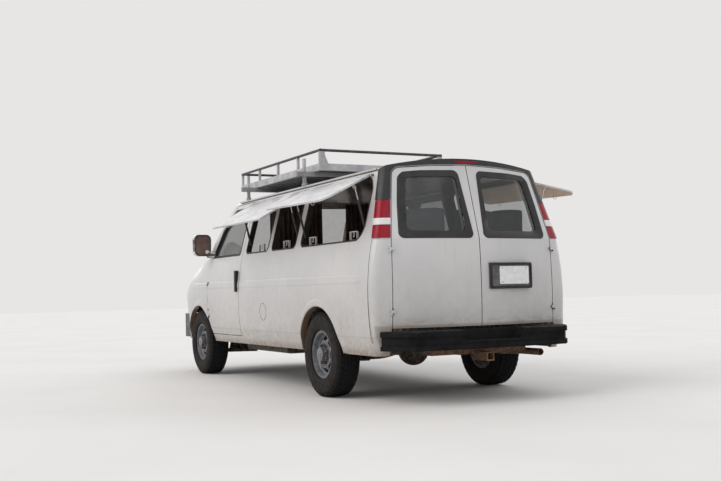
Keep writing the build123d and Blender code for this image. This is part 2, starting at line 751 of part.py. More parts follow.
# Bumpers
def bumper_plan(z, face_y, end_y, half, corner_x, corner_y, bulge=22):
    """Plan of a bumper: bowed face, rounded corners and straight ends."""
    out = 1 if face_y > 0 else -1
    turn = face_y - 22 * out
    bend = ((half + corner_x) / 2 + bulge, (corner_y + turn) / 2 + bulge * out)
    with BuildSketch(Plane.XY.offset(z)) as plan:
        with BuildLine():
            Line((half, end_y), (half, corner_y))
            ThreePointArc((half, corner_y), bend, (corner_x, turn))
            ThreePointArc((corner_x, turn), (0, face_y), (-corner_x, turn))
            ThreePointArc((-corner_x, turn), (-bend[0], bend[1]), (-half, corner_y))
            Line((-half, corner_y), (-half, end_y))
            Line((-half, end_y), (half, end_y))
        make_face()
    return plan.sketch


BUMPER_LOW_Z = 458
BUMPER_HIGH_Z = 618
LEDGE_Z = 572
STEP_Z = 524
STEP_Y = 2702
WALL_T = 34
BUMPER_END_Y = 2562
RAIL_END_Y = 2668
with BuildPart() as rear_bumper:
    # Upper ledge, the face set back below it, and the lip along the bottom
    levels = (
        (LEDGE_Z, BUMPER_HIGH_Z, 0, 12),
        (BUMPER_LOW_Z + 40, LEDGE_Z, 12, 0),
        (BUMPER_LOW_Z, BUMPER_LOW_Z + 40, 0, 10),
    )
    for low, high, back, round_r in levels:
        with BuildPart(mode=Mode.PRIVATE) as level:
            plan = bumper_plan(low, TAIL_Y - back, 2530, 945 - back, 760 - back, 2562, 10)
            extrude(plan, amount=high - low)
            if round_r:
                outer = level.edges().group_by(Axis.Z)[-1 if low == LEDGE_Z else 0]
                fillet(outer.filter_by(lambda edge: edge.center().Y > 2540), round_r)
        add(level.part)
    hollow = bumper_plan(400, TAIL_Y - 60, 2500, 945 - WALL_T, 725, 2545, 10)
    extrude(hollow, amount=BUMPER_HIGH_Z - 16 - 400, mode=Mode.SUBTRACT)
    block((-1000, 2500, 400), (1000, BUMPER_END_Y, 700), Mode.SUBTRACT)
    # Step in the middle with slanted ends
    block((-370, STEP_Y - 22, STEP_Z - 20), (370, TAIL_Y - 50, BUMPER_HIGH_Z - 10))
    step = ((-270, STEP_Z), (270, STEP_Z), (345, 700), (-345, 700))
    prism(Plane.XZ, step, -2900, -STEP_Y, Mode.SUBTRACT)
    # Brackets back to the frame rails
    for hand in (1, -1):
        near_x, far_x = sorted((hand * 405, hand * 455))
        block((near_x, RAIL_END_Y + SEAT_GAP, 500), (far_x, TAIL_Y - 40, 556))
save(rear_bumper, "rear_bumper")

with BuildPart() as front_bumper:
    extrude(bumper_plan(430, NOSE_Y, -2520, 940, 830, -2700), amount=290)
    block((-900, -2700, 400), (900, -2400, 800), Mode.SUBTRACT)
save(front_bumper, "front_bumper")

# Ladder frame
RAIL_X = 430
RAIL_W = 70
RAIL = (
    (-2690, 470),
    (-1500, 470),
    (-1400, 450),
    (900, 450),
    (1050, 480),
    (2560, 480),
    (2560, 600),
    (1000, 600),
    (850, 580),
    (-1350, 580),
    (-1450, 600),
    (-2690, 600),
)
CROSS_MEMBERS = (-2640, -400, 500, 950, 1850, 2520)
with BuildPart() as frame:
    for hand in (1, -1):
        near, far = sorted((hand * (RAIL_X - RAIL_W / 2), hand * (RAIL_X + RAIL_W / 2)))
        prism(Plane.YZ, RAIL, near, far)
    for y in CROSS_MEMBERS:
        block((-RAIL_X, y - 30, 545), (RAIL_X, y + 30, 578))
    # Body mounts out to the rockers and the bumper carriers
    for y in (-1300, 350, 1000, 2300):
        for hand in (1, -1):
            near, far = sorted((hand * RAIL_X, hand * 880))
            block((near, y - 25, 560), (far, y + 25, FLOOR_Z - FLOOR_T - SEAT_GAP))
    block((-RAIL_X - 35, 2560, 490), (-RAIL_X + 35, 2668, 600))
    block((RAIL_X - 35, 2560, 490), (RAIL_X + 35, 2668, 600))
    block((-RAIL_X - 35, -2700, 490), (-RAIL_X + 35, -2690, 600))
    block((RAIL_X - 35, -2700, 490), (RAIL_X + 35, -2690, 600))
save(frame, "frame")

# Floor with its rear wheel housings, toe board and firewall
HOUSING_R = ARCH_R + 15
TUNNEL_X = 300
COVER_X = 320
with BuildPart() as floor_pan:
    block((-928, -1490, FLOOR_Z - FLOOR_T), (928, 2400, FLOOR_Z))
    block((-815, 2400, FLOOR_Z - FLOOR_T), (815, 2560, FLOOR_Z))
    for hand in (1, -1):
        inner = (hand * 690, REAR_AXLE_Y, TYRE_R)
        outer = (hand * 928, REAR_AXLE_Y, TYRE_R)
        rod(inner, outer, HOUSING_R + 10)
    for hand in (1, -1):
        inner = (hand * 700, REAR_AXLE_Y, TYRE_R)
        outer = (hand * 1000, REAR_AXLE_Y, TYRE_R)
        rod(inner, outer, HOUSING_R, Mode.SUBTRACT)
    block((-1000, 900, -200), (1000, 2000, FLOOR_Z - FLOOR_T), Mode.SUBTRACT)
    block((-915, -1500, FLOOR_Z - FLOOR_T), (915, -1480, 890))
    block((-915, -1740, 870), (915, -1480, 890))
    block((-860, -1740, 870), (860, -1720, 1340))
    # Way through for the engine and its cover
    block((-TUNNEL_X, -1800, 500), (TUNNEL_X, -1180, FLOOR_Z + 1), Mode.SUBTRACT)
    cover_side = COVER_X + SEAT_GAP
    block((-cover_side, -1800, FLOOR_Z), (cover_side, -1150, 1091), Mode.SUBTRACT)
save(floor_pan, "floor_pan")

# Engine, gearbox and propeller shaft
with BuildPart() as powertrain:
    block((-240, -2380, 460), (240, -1330, 1020))
    with BuildSketch(Plane.XZ.offset(1330)):
        with Locations((0, 470)):
            Circle(130)
    with BuildSketch(Plane.XZ.offset(500)):
        with Locations((0, 480)):
            Circle(70)
    loft()
    # Engine mounts to the frame rails
    mount_x = RAIL_X - RAIL_W / 2 - SEAT_GAP
    block((-mount_x, -1900, 515), (mount_x, -1840, 560))
save(powertrain, "powertrain")

# Rear axle, propeller shaft and leaf springs
HUB_IN = 10
SPRING_X = 540
with BuildPart() as rear_axle:
    rod((-REAR_TRACK / 2 + 60, REAR_AXLE_Y, TYRE_R), (REAR_TRACK / 2 - 60, REAR_AXLE_Y, TYRE_R), 45)
    with Locations((0, REAR_AXLE_Y, TYRE_R)):
        Sphere(150)
    rod((0, REAR_AXLE_Y - 100, TYRE_R), (0, -494, 480), 38)
    for hand in (1, -1):
        rod(
            (hand * (REAR_TRACK / 2 - 110), REAR_AXLE_Y, TYRE_R),
            (hand * (REAR_TRACK / 2 - 30), REAR_AXLE_Y, TYRE_R),
            160,
        )
        rod(
            (hand * (REAR_TRACK / 2 - 40), REAR_AXLE_Y, TYRE_R),
            (hand * (REAR_TRACK / 2 + HUB_IN - SEAT_GAP), REAR_AXLE_Y, TYRE_R),
            56,
        )
        with BuildSketch(Plane.YZ.offset(hand * SPRING_X - 32)):
            with BuildLine():
                ThreePointArc((REAR_AXLE_Y - 700, 440), (REAR_AXLE_Y, 325), (REAR_AXLE_Y + 760, 440))
                Line((REAR_AXLE_Y + 760, 440), (REAR_AXLE_Y + 755, 470))
                ThreePointArc((REAR_AXLE_Y + 755, 470), (REAR_AXLE_Y, 355), (REAR_AXLE_Y - 700, 470))
                Line((REAR_AXLE_Y - 700, 470), (REAR_AXLE_Y - 700, 440))
            make_face()
        extrude(amount=64)
        block(
            (hand * SPRING_X - 40, REAR_AXLE_Y - 60, 310),
            (hand * SPRING_X + 40, REAR_AXLE_Y + 60, 440),
        )
        near, far = sorted((hand * (RAIL_X + RAIL_W / 2 + SEAT_GAP), hand * (SPRING_X + 40)))
        block((near, REAR_AXLE_Y - 720, 435), (far, REAR_AXLE_Y - 680, 550))
        block((near, REAR_AXLE_Y + 740, 435), (far, REAR_AXLE_Y + 780, 550))
save(rear_axle, "rear_axle")

# Front suspension: cross member, lower and upper arms, springs
with BuildPart() as front_suspension:
    block((-RAIL_X - 30, FRONT_AXLE_Y - 90, 288), (RAIL_X + 30, FRONT_AXLE_Y + 90, 459.7))
    for hand in (1, -1):
        near, far = sorted((hand * (RAIL_X - 30), hand * (RAIL_X + 30)))
        block((near, FRONT_AXLE_Y - 90, 459), (far, FRONT_AXLE_Y + 90, 470 - SEAT_GAP))
    for hand in (1, -1):
        lower = (
            (hand * 330, FRONT_AXLE_Y - 190),
            (hand * 725, FRONT_AXLE_Y - 30),
            (hand * 725, FRONT_AXLE_Y + 30),
            (hand * 330, FRONT_AXLE_Y + 190),
        )
        prism(Plane.XY, lower, 250, 290)
        rod((hand * 560, FRONT_AXLE_Y, 285), (hand * 520, FRONT_AXLE_Y, 470), 60)
        upper = (
            (hand * 466, FRONT_AXLE_Y - 130),
            (hand * 720, FRONT_AXLE_Y - 25),
            (hand * 720, FRONT_AXLE_Y + 25),
            (hand * 466, FRONT_AXLE_Y + 130),
        )
        prism(Plane.XY, upper, 520, 545)
        block(
            (min(hand * 466, hand * 520), FRONT_AXLE_Y - 100, 290),
            (max(hand * 466, hand * 520), FRONT_AXLE_Y + 100, 600),
        )
        # Ball joint tongues and pins on the steering axis
        for low, arm_low, arm_high, pin in ((224, 224, 262, (230, 262)), (550, 520, 559, (528, 555))):
            near, far = sorted((hand * 700, hand * (KINGPIN_X + 9)))
            block((near, FRONT_AXLE_Y - 10, low), (far, FRONT_AXLE_Y + 10, low + 9))
            near, far = sorted((hand * 700, hand * 725))
            block((near, FRONT_AXLE_Y - 12, arm_low), (far, FRONT_AXLE_Y + 12, arm_high))
            rod(
                (hand * KINGPIN_X, FRONT_AXLE_Y, pin[0]),
                (hand * KINGPIN_X, FRONT_AXLE_Y, pin[1]),
                8,
            )
save(front_suspension, "front_suspension")

# Knuckles with brake discs
with BuildPart() as knuckle_left:
    block((745, FRONT_AXLE_Y - 30, 240), (KINGPIN_X + 14, FRONT_AXLE_Y + 30, 545))
    rod((770, FRONT_AXLE_Y, TYRE_R), (FRONT_TRACK / 2 + HUB_IN - SEAT_GAP, FRONT_AXLE_Y, TYRE_R), 56)
    rod((806, FRONT_AXLE_Y, TYRE_R), (832, FRONT_AXLE_Y, TYRE_R), 155)
    for low, high in ((239, 265), (525, 546)):
        rod((KINGPIN_X, FRONT_AXLE_Y, low), (KINGPIN_X, FRONT_AXLE_Y, high), 8.3, Mode.SUBTRACT)
save(knuckle_left, "knuckle_left")
knuckle_right = mirrored(knuckle_left, "knuckle_right")

# Wheels
# Front and rear: name, side, axle, centre of the tyre from the vehicle's centre plane
WHEELS = (
    ("front_left", 1, FRONT_AXLE_Y, FRONT_TRACK / 2),
    ("front_right", -1, FRONT_AXLE_Y, FRONT_TRACK / 2),
    ("rear_left", 1, REAR_AXLE_Y, REAR_TRACK / 2),
    ("rear_right", -1, REAR_AXLE_Y, REAR_TRACK / 2),
)


def wheel(name, hand, axle_y, track_half):
    """A tyre and its steel wheel. The profile plane's first axis is X, its second the radius."""
    centre = hand * track_half
    axis = Axis((0, axle_y, TYRE_R), (1, 0, 0))
    w = TYRE_W / 2
    bead = RIM_W / 2 - SEAT_GAP
    profile_plane = Plane(origin=(centre, axle_y, TYRE_R), x_dir=(hand, 0, 0), z_dir=(0, hand, 0))
    if profile_plane.y_dir.Z < 0:
        profile_plane = Plane(origin=(centre, axle_y, TYRE_R), x_dir=(hand, 0, 0), z_dir=(0, -hand, 0))
    with BuildPart() as tyre:
        with BuildSketch(profile_plane):
            with BuildLine():
                Polyline(
                    (-bead, RIM_LIP_R + 3),
                    (-w + 16, RIM_LIP_R + 6),
                    (-w + 2, 270),
                    (-w, 305),
                    (-w + 8, 350),
                    (-w + 26, TYRE_R - 8),
                    (-w + 50, TYRE_R),
                    (w - 50, TYRE_R),
                    (w - 26, TYRE_R - 8),
                    (w - 8, 350),
                    (w, 305),
                    (w - 2, 270),
                    (w - 16, RIM_LIP_R + 6),
                    (bead, RIM_LIP_R + 3),
                    (bead, RIM_R + SEAT_GAP),
                    (-bead, RIM_R + SEAT_GAP),
                    close=True,
                )
            make_face()
        revolve(axis=axis)
    save(tyre, f"tyre_{name}")
    r = RIM_W / 2
    with BuildPart() as rim:
        with BuildSketch(profile_plane):
            with BuildLine():
                Polyline(
                    (-r - 6, RIM_R - 14),
                    (-r - 6, RIM_LIP_R),
                    (-r, RIM_LIP_R),
                    (-r, RIM_R),
                    (r, RIM_R),
                    (r, RIM_LIP_R),
                    (r + 6, RIM_LIP_R),
                    (r + 6, RIM_R - 8),
                    (r - 30, RIM_R - 22),
                    (r - 40, 165),
                    (r - 18, 130),
                    (r - 14, 105),
                    (r - 22, 72),
                    (r - 22, 0),
                    (r - 34, 0),
                    (r - 34, 76),
                    (r - 27, 105),
                    (r - 31, 128),
                    (r - 52, 163),
                    (r - 52, RIM_R - 14),
                    close=True,
                )
            make_face()
        revolve(axis=axis)
        with BuildSketch(Plane(origin=(centre, axle_y, TYRE_R), x_dir=(0, 1, 0), z_dir=(hand, 0, 0))):
            with PolarLocations(146, SLOTS):
                SlotOverall(80, 42, rotation=90)
        extrude(amount=r + 20, mode=Mode.SUBTRACT)
        # Hub through the middle of the disc
        rod((centre + hand * HUB_IN, axle_y, TYRE_R), (centre + hand * (r + 28), axle_y, TYRE_R), 56)
    save(rim, f"rim_{name}")


for row in WHEELS:
    wheel(*row)


# Awning flaps with their struts
def on_flap(slope, along, below):
    """A point on a flap that hangs at a slope below level, as (x, z) on the left side."""
    c, d = cos(radians(slope)), sin(radians(slope))
    return (FLAP_HINGE_X + along * c - below * d, FLAP_HINGE_Z - along * d - below * c)


def flap(hand, front, rear, droop, front_depth, rear_depth, slant, corner_r, struts, name):
    """An awning flap as it stands open, with the hinge tube along its upper edge."""
    plane = Plane(
        origin=(hand * FLAP_HINGE_X, 0, FLAP_HINGE_Z),
        x_dir=(hand * cos(radians(droop)), 0, -sin(radians(droop))),
        z_dir=(hand * sin(radians(droop)), 0, cos(radians(droop))),
    )
    side = plane.y_dir.Y
    outline = ((0, front), (front_depth, front), (rear_depth, rear + slant), (0, rear))
    outline = [(x, side * y) for x, y in outline]
    start = (hand * FLAP_HINGE_X, front, FLAP_HINGE_Z)
    end = (hand * FLAP_HINGE_X, rear, FLAP_HINGE_Z)
    with BuildPart() as panel:
        rounds = ((outline[1], 25), (outline[2], corner_r))
        prism(plane, outline, -FLAP_T / 2, FLAP_T / 2, rounds=rounds)
        rod(start, end, 10)
        for y, jamb_y in struts:
            # Lug beside the strut's eye
            lug_y = y + (-16 if jamb_y > y else 16)
            lug = [
                (STRUT_ON_FLAP - 12, side * (lug_y - 3)),
                (STRUT_ON_FLAP + 12, side * (lug_y - 3)),
                (STRUT_ON_FLAP + 12, side * (lug_y + 3)),
                (STRUT_ON_FLAP - 12, side * (lug_y + 3)),
            ]
            prism(plane, lug, -STRUT_BELOW_FLAP - 8, 0)
        past_end = (end[0], rear + 6, end[2])
        rod(start, past_end, PIN_R + PIN_CLEARANCE, Mode.SUBTRACT)
    save(panel, f"flap_{name}")
    # Struts: barrels on the jamb pins, rods up to the flap
    top = on_flap(droop, STRUT_ON_FLAP, STRUT_BELOW_FLAP)
    length = hypot(top[0] - STRUT_X, top[1] - STRUT_Z)
    way = ((top[0] - STRUT_X) / length, (top[1] - STRUT_Z) / length)

    def along(distance, y):
        x = hand * (STRUT_X + way[0] * distance)
        return (x, y, STRUT_Z + way[1] * distance)

    with BuildPart() as barrels:
        for y, _ in struts:
            rod(along(0, y - 8), along(0, y + 8), 11)
            rod(along(6, y), along(BARREL_L, y), BARREL_R)
            rod(along(0, y - 9), along(0, y + 9), PIN_R + PIN_CLEARANCE, Mode.SUBTRACT)
            rod(along(14, y), along(BARREL_L + 1, y), STRUT_ROD_R + PIN_CLEARANCE, Mode.SUBTRACT)
    save(barrels, f"strut_barrels_{name}")
    with BuildPart() as rods:
        for y, _ in struts:
            rod(along(length - ROD_L, y), along(length - 6, y), STRUT_ROD_R)
            rod(along(length, y - 8), along(length, y + 8), 9)
            rod(along(length, y - 9), along(length, y + 9), PIN_R, Mode.SUBTRACT)
    save(rods, f"strut_rods_{name}")
    return degrees(atan2(way[0], way[1])), length


flap(1, *FLAPS[0], STRUTS[:2], "left_front")
flap(1, *FLAPS[1], STRUTS[2:], "left_rear")
flap(-1, *FLAPS[2], STRUTS[2:], "right_rear")

# Roof rack
RACK_HALF = 706
RACK_FRONT_Y = -1225
RACK_REAR_Y = 943
RACK_TOP_Z = 2348
BEAM_LOW_Z = 2145
BEAM_HIGH_Z = 2216
TOWER_X = 799
POSTS = 5
with BuildPart() as roof_rack:
    for hand in (1, -1):
        block(
            (min(hand * (RACK_HALF - 40), hand * RACK_HALF), RACK_FRONT_Y, BEAM_LOW_Z),
            (max(hand * (RACK_HALF - 40), hand * RACK_HALF), RACK_REAR_Y, BEAM_HIGH_Z),
        )
        x = hand * (RACK_HALF - 14)
        rod((x, RACK_FRONT_Y, RACK_TOP_Z), (x, RACK_REAR_Y, RACK_TOP_Z), 14)
        for step in range(POSTS):
            y = RACK_FRONT_Y + 14 + (RACK_REAR_Y - RACK_FRONT_Y - 28) * step / (POSTS - 1)
            block((x - 12, y - 12, BEAM_HIGH_Z - 5), (x + 12, y + 12, RACK_TOP_Z))
        # Wide plate that stiffens the rear corner
        foot_z = BEAM_HIGH_Z - 10
        plate = ((706, RACK_TOP_Z), (650, RACK_TOP_Z), (640, 2290), (604, foot_z), (706, foot_z))
        prism(Plane.XZ, [(hand * x, z) for x, z in plate], -RACK_REAR_Y, 6 - RACK_REAR_Y)
    for y in (RACK_FRONT_Y, RACK_REAR_Y):
        inner = y + (20 if y < 0 else -20)
        block((-RACK_HALF, inner - 20, BEAM_LOW_Z), (RACK_HALF, inner + 20, BEAM_HIGH_Z))
        bar_y = y + (14 if y < 0 else -14)
        rod((-RACK_HALF + 14, bar_y, RACK_TOP_Z), (RACK_HALF - 14, bar_y, RACK_TOP_Z), 14)
    for step in range(1, 9):
        y = RACK_FRONT_Y + (RACK_REAR_Y - RACK_FRONT_Y) * step / 9
        block((-RACK_HALF + 20, y - 20, BEAM_LOW_Z), (RACK_HALF - 20, y + 20, BEAM_LOW_Z + 25))
    # Cross bars below with clamp towers on the roof's drip rails
    for y in (-755, 785):
        block((-880, y - 20, BEAM_LOW_Z - 45), (880, y + 20, BEAM_LOW_Z))
        for hand in (1, -1):
            x = hand * TOWER_X
            block((x - 13, y - 18, 2006.3), (x + 13, y + 18, 2275))
            block((x - 13, y - 40, 2006.3), (x + 13, y + 40, 2030))
save(roof_rack, "roof_rack")

with BuildPart() as rack_panels:
    for front, rear in ((-1150, -130), (-90, 880)):
        block((-640, front, BEAM_LOW_Z + 25.3), (640, rear, BEAM_LOW_Z + 60))
save(rack_panels, "rack_panels")

# Plate housing on the right rear door
with BuildPart() as plate_housing:
    block((-522, 2580, 949), (-81, 2668, 1175))
    add(cabin_outer, mode=Mode.SUBTRACT)
save(plate_housing, "plate_housing")

# Hitch receiver
with BuildPart() as hitch_receiver:
    block((-480, 2540, 400), (480, 2600, 460))
    block((-38, 2540, 345), (38, 2760, 421))
    block((-26, 2600, 357), (26, 2770, 409), Mode.SUBTRACT)
    for hand in (1, -1):
        block((min(hand * 465.3, hand * 480), 2450, 400), (max(hand * 465.3, hand * 480), 2600, 560))
save(hitch_receiver, "hitch_receiver")

# Fuel tank and exhaust
with BuildPart() as fuel_tank:
    tank = ((465.3, 330), (790, 330), (790, 600), (465.3, 600))
    prism(Plane.XZ, tank, -250, 900, rounds=[(c, 40) for c in tank])
save(fuel_tank, "fuel_tank")

TAILPIPE_Z = 392
with BuildPart() as exhaust:
    pipe = (
        (-270, -1250, 385),
        (-270, 900, 385),
        (-330, 1250, 480),
        (-330, 1500, 500),
        (-330, 1750, 430),
        (-440, 2050, 395),
        (-440, 2270, TAILPIPE_Z),
        (-560, 2430, TAILPIPE_Z),
        (-560, 2700, TAILPIPE_Z),
    )
    for start, end in zip(pipe, pipe[1:]):
        rod(start, end, 30)
        with Locations(end):
            Sphere(31)
    rod((-270, -700, 385), (-270, -100, 385), 88)
    # Hangers up to the frame's cross members
    for x, y, low in ((-270, -400, 450), (-270, 500, 400), (-377, 1850, 430)):
        block((x - 12, y - 12, low), (x + 12, y + 12, 545 - SEAT_GAP))
    rod((-560, 2500, TAILPIPE_Z), (-560, 2735, TAILPIPE_Z), 25, Mode.SUBTRACT)
save(exhaust, "exhaust")

# Inside
with BuildPart() as dashboard:
    dash = ((-1712, 1000), (-1450, 1000), (-1420, 1120), (-1480, 1330), (-1712, 1360))
    prism(Plane.YZ, dash, -860, 860)
    block((-COVER_X, -1712, FLOOR_Z + SEAT_GAP), (COVER_X, -1160, 1090))
    block((-304, -1740, FLOOR_Z - 50), (304, -1176, 1074), Mode.SUBTRACT)
    rod((450, -1470, 1164), (450, -1300.3, 1269.8), 28)
save(dashboard, "dashboard")

with BuildPart() as steering_wheel:
    wheel_plane = Plane(origin=(450, -1300, 1270), x_dir=(1, 0, 0), z_dir=(0, 0.85, 0.53))
    with BuildSketch(wheel_plane):
        Circle(190)
        Circle(165, mode=Mode.SUBTRACT)
        Rectangle(340, 40)
        Circle(50)
    extrude(amount=24)
save(steering_wheel, "steering_wheel")

with BuildPart() as seats:
    for x in (470, -470):
        block((x - 230, -1080, FLOOR_Z + 0.3), (x + 230, -580, 850))
        block((x - 255, -1110, 850), (x + 255, -560, 980))
        seat_back = ((-640, 950), (-500, 950), (-420, 1480), (-540, 1480))
        prism(Plane.YZ, seat_back, x - 222, x + 222)
        head = ((-545, 1480), (-455, 1480), (-430, 1680), (-520, 1680))
        prism(Plane.YZ, head, x - 130, x + 130)
save(seats, "seats")

with BuildPart() as bed:
    block((-680, 950, FLOOR_Z + 0.3), (680, 2380, 1180))
save(bed, "bed")

with BuildPart() as mattress:
    block((-860, 950, 1180 + SEAT_GAP), (860, 2440, 1330))
save(mattress, "mattress")
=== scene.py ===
import json
from math import cos, pi, radians, sin, sqrt, tan

import bmesh
import bpy
import numpy as np
from mathutils import Matrix, Vector
from mathutils.bvhtree import BVHTree


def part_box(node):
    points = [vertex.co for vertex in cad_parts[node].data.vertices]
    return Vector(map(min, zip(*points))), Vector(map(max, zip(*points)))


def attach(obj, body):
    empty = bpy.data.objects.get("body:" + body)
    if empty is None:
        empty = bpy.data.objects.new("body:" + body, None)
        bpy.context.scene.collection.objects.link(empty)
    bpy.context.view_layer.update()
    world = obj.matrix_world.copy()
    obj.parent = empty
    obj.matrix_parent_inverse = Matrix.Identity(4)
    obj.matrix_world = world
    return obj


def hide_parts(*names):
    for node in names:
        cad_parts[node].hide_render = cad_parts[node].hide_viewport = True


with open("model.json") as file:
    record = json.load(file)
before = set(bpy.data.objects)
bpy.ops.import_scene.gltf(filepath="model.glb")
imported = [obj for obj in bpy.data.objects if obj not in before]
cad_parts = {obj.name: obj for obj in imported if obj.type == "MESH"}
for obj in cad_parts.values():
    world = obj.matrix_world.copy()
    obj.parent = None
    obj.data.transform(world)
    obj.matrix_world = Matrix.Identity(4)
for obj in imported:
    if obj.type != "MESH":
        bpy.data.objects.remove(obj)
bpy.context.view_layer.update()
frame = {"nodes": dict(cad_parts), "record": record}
nodes = frame["nodes"]
scene = bpy.context.scene
scene.view_settings.view_transform = "Standard"

# Body lines in metres, as the solids have them
SILL, LINTEL = 1.396, 1.936
WINDOWS = ((-0.482, 0.133, 0.035, 0.035), (0.248, 0.844, 0.035, 0.035), (0.981, 2.277, 0.045, 0.110))
FRONT_WINDOW = ((-1.575, 1.392), (-0.668, 1.392), (-0.668, 1.905), (-1.110, 1.905), (-1.405, 1.690))
REAR_PANE = ((0.048, 1.386), (0.752, 1.386), (0.716, 1.692), (0.668, 1.960), (0.461, 1.980), (0.096, 1.990))
REAR_CLEAR = ((0.118, 1.450), (0.668, 1.452), (0.637, 1.700), (0.596, 1.918), (0.124, 1.930))
AXLES = (-1.965, 1.464)
SIDES = ((1, "left"), (-1, "right"))
TYRE_R = 0.387
FRONT_TRACK_HALF, REAR_TRACK_HALF = 0.871, 0.865
HUB_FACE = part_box("rim_rear_left")[1][0] - REAR_TRACK_HALF
FLAP_HINGE_X, FLAP_HINGE_Z = 0.818, 1.950
BODY_FRONT_Y, CORNER_Y, REAR_Y = -1.64, 2.50, 2.668
CREASE_Z = 0.568

# Camera at the photograph's viewpoint
CAMERA_PLACE = (4.854, 9.858, 0.957)
CAMERA_YAW_PITCH_ROLL = (27.197, 2.861, -1.309)
CAMERA_LENS = 50.36


def place_camera():
    yaw, pitch, roll = (radians(a) for a in CAMERA_YAW_PITCH_ROLL)
    look = Vector((-sin(yaw) * cos(pitch), -cos(yaw) * cos(pitch), sin(pitch)))
    right = look.cross(Vector((0, 0, 1))).normalized()
    up = right.cross(look)
    right, up = cos(roll) * right + sin(roll) * up, cos(roll) * up - sin(roll) * right
    data = bpy.data.cameras.new("camera")
    data.sensor_width = 36
    data.lens = CAMERA_LENS
    data.clip_end = 200
    camera = bpy.data.objects.new("camera", data)
    scene.collection.objects.link(camera)
    turn = Matrix((right, up, -look)).transposed().to_4x4()
    camera.matrix_world = Matrix.Translation(CAMERA_PLACE) @ turn
    scene.camera = camera


place_camera()


# Materials
class Shade:
    """A node material: coordinates are the van's own, in metres."""

    def __init__(self, name):
        self.mat = bpy.data.materials.new(name)
        self.mat.use_nodes = True
        self.tree = self.mat.node_tree
        self.link = self.tree.links.new
        self.bsdf = self.tree.nodes["Principled BSDF"]
        coord = self.node("TexCoord")
        self.place = coord.outputs["Object"]
        self.normal = coord.outputs["Normal"]

    def node(self, kind):
        return self.tree.nodes.new("ShaderNode" + kind)

    def put(self, value, socket):
        """A value or another node's output into a socket."""
        if isinstance(value, bpy.types.NodeSocket):
            self.link(value, socket)
        elif isinstance(value, tuple) and len(value) == 3:
            socket.default_value = (*value, 1)
        else:
            socket.default_value = value

    def noise(self, scale, detail=4.0, rough=0.55, stretch=(1, 1, 1), warp=0.0):
        place = self.place
        if stretch != (1, 1, 1):
            mapping = self.node("Mapping")
            mapping.inputs["Scale"].default_value = stretch
            self.link(place, mapping.inputs["Vector"])
            place = mapping.outputs["Vector"]
        node = self.node("TexNoise")
        self.link(place, node.inputs["Vector"])
        node.inputs["Scale"].default_value = scale
        node.inputs["Detail"].default_value = detail
        node.inputs["Roughness"].default_value = rough
        node.inputs["Distortion"].default_value = warp
        return node.outputs["Fac"]

    def cells(self, scale):
        node = self.node("TexVoronoi")
        self.link(self.place, node.inputs["Vector"])
        node.inputs["Scale"].default_value = scale
        return node.outputs["Distance"]

    def bands(self, scale):
        node = self.node("TexWave")
        node.bands_direction = "Z"
        self.link(self.place, node.inputs["Vector"])
        node.inputs["Scale"].default_value = scale
        return node.outputs["Fac"]

    def axis(self, name, vector=None):
        split = self.node("SeparateXYZ")
        self.link(vector or self.place, split.inputs[0])
        return split.outputs[name]

    def ramp(self, value, low, high, bottom=0.0, top=1.0):
        node = self.node("MapRange")
        node.interpolation_type = "SMOOTHSTEP"
        self.put(value, node.inputs["Value"])
        for key, v in (("From Min", low), ("From Max", high), ("To Min", bottom), ("To Max", top)):
            node.inputs[key].default_value = v
        return node.outputs["Result"]

    def calc(self, how, a, b=0.0):
        node = self.node("Math")
        node.operation = how
        self.put(a, node.inputs[0])
        self.put(b, node.inputs[1])
        return node.outputs[0]

    def times(self, a, b):
        return self.calc("MULTIPLY", a, b)

    def most(self, a, b):
        return self.calc("MAXIMUM", a, b)

    def away(self, value, middle):
        return self.calc("ABSOLUTE", self.calc("SUBTRACT", value, middle))

    def mix(self, share, a, b):
        node = self.node("Mix")
        node.data_type = "RGBA"
        self.put(share, node.inputs["Factor"])
        self.put(a, node.inputs["A"])
        self.put(b, node.inputs["B"])
        return node.outputs["Result"]

    def cloud(self, dark, light, scale, detail=4.0, low=0.3, high=0.7):
        """Soft patches of two colours."""
        return self.mix(self.ramp(self.noise(scale, detail), low, high), dark, light)

    def bump(self, height, strength=0.3, distance=0.002):
        node = self.node("Bump")
        node.inputs["Strength"].default_value = strength
        node.inputs["Distance"].default_value = distance
        self.put(height, node.inputs["Height"])
        self.link(node.outputs["Normal"], self.bsdf.inputs["Normal"])

    def finish(self, color, rough, metal=0.0, **extra):
        self.put(color, self.bsdf.inputs["Base Color"])
        self.put(rough, self.bsdf.inputs["Roughness"])
        self.bsdf.inputs["Metallic"].default_value = metal
        for key, value in extra.items():
            self.bsdf.inputs[key.replace("_", " ").title().replace("Ior", "IOR")].default_value = value
        return self.mat


DUST = (0.36, 0.27, 0.19)
MUD = (0.16, 0.105, 0.065)
LINING = (0.13, 0.085, 0.055)


def plain(name, dark, light, rough=(0.4, 0.6), scale=9, grain=300, bump=0.15, metal=0.0, dust=0.0, **extra):
    """A surface that varies between two colours, with fine grain and, if asked, dust."""
    s = Shade(name)
    color = s.mix(s.ramp(s.noise(scale, 5), 0.35, 0.65), dark, light)
    if dust:
        specks = s.noise(scale * 4, 6, 0.7)
        color = s.mix(s.ramp(specks, 0.62 - 0.4 * dust, 0.75, 0, 0.9 * min(1, dust * 1.5)), color, DUST)
    s.bump(s.noise(grain, 3), bump, 0.001)
    return s.finish(color, s.ramp(s.noise(scale * 3), 0.3, 0.7, *rough), metal, **extra)


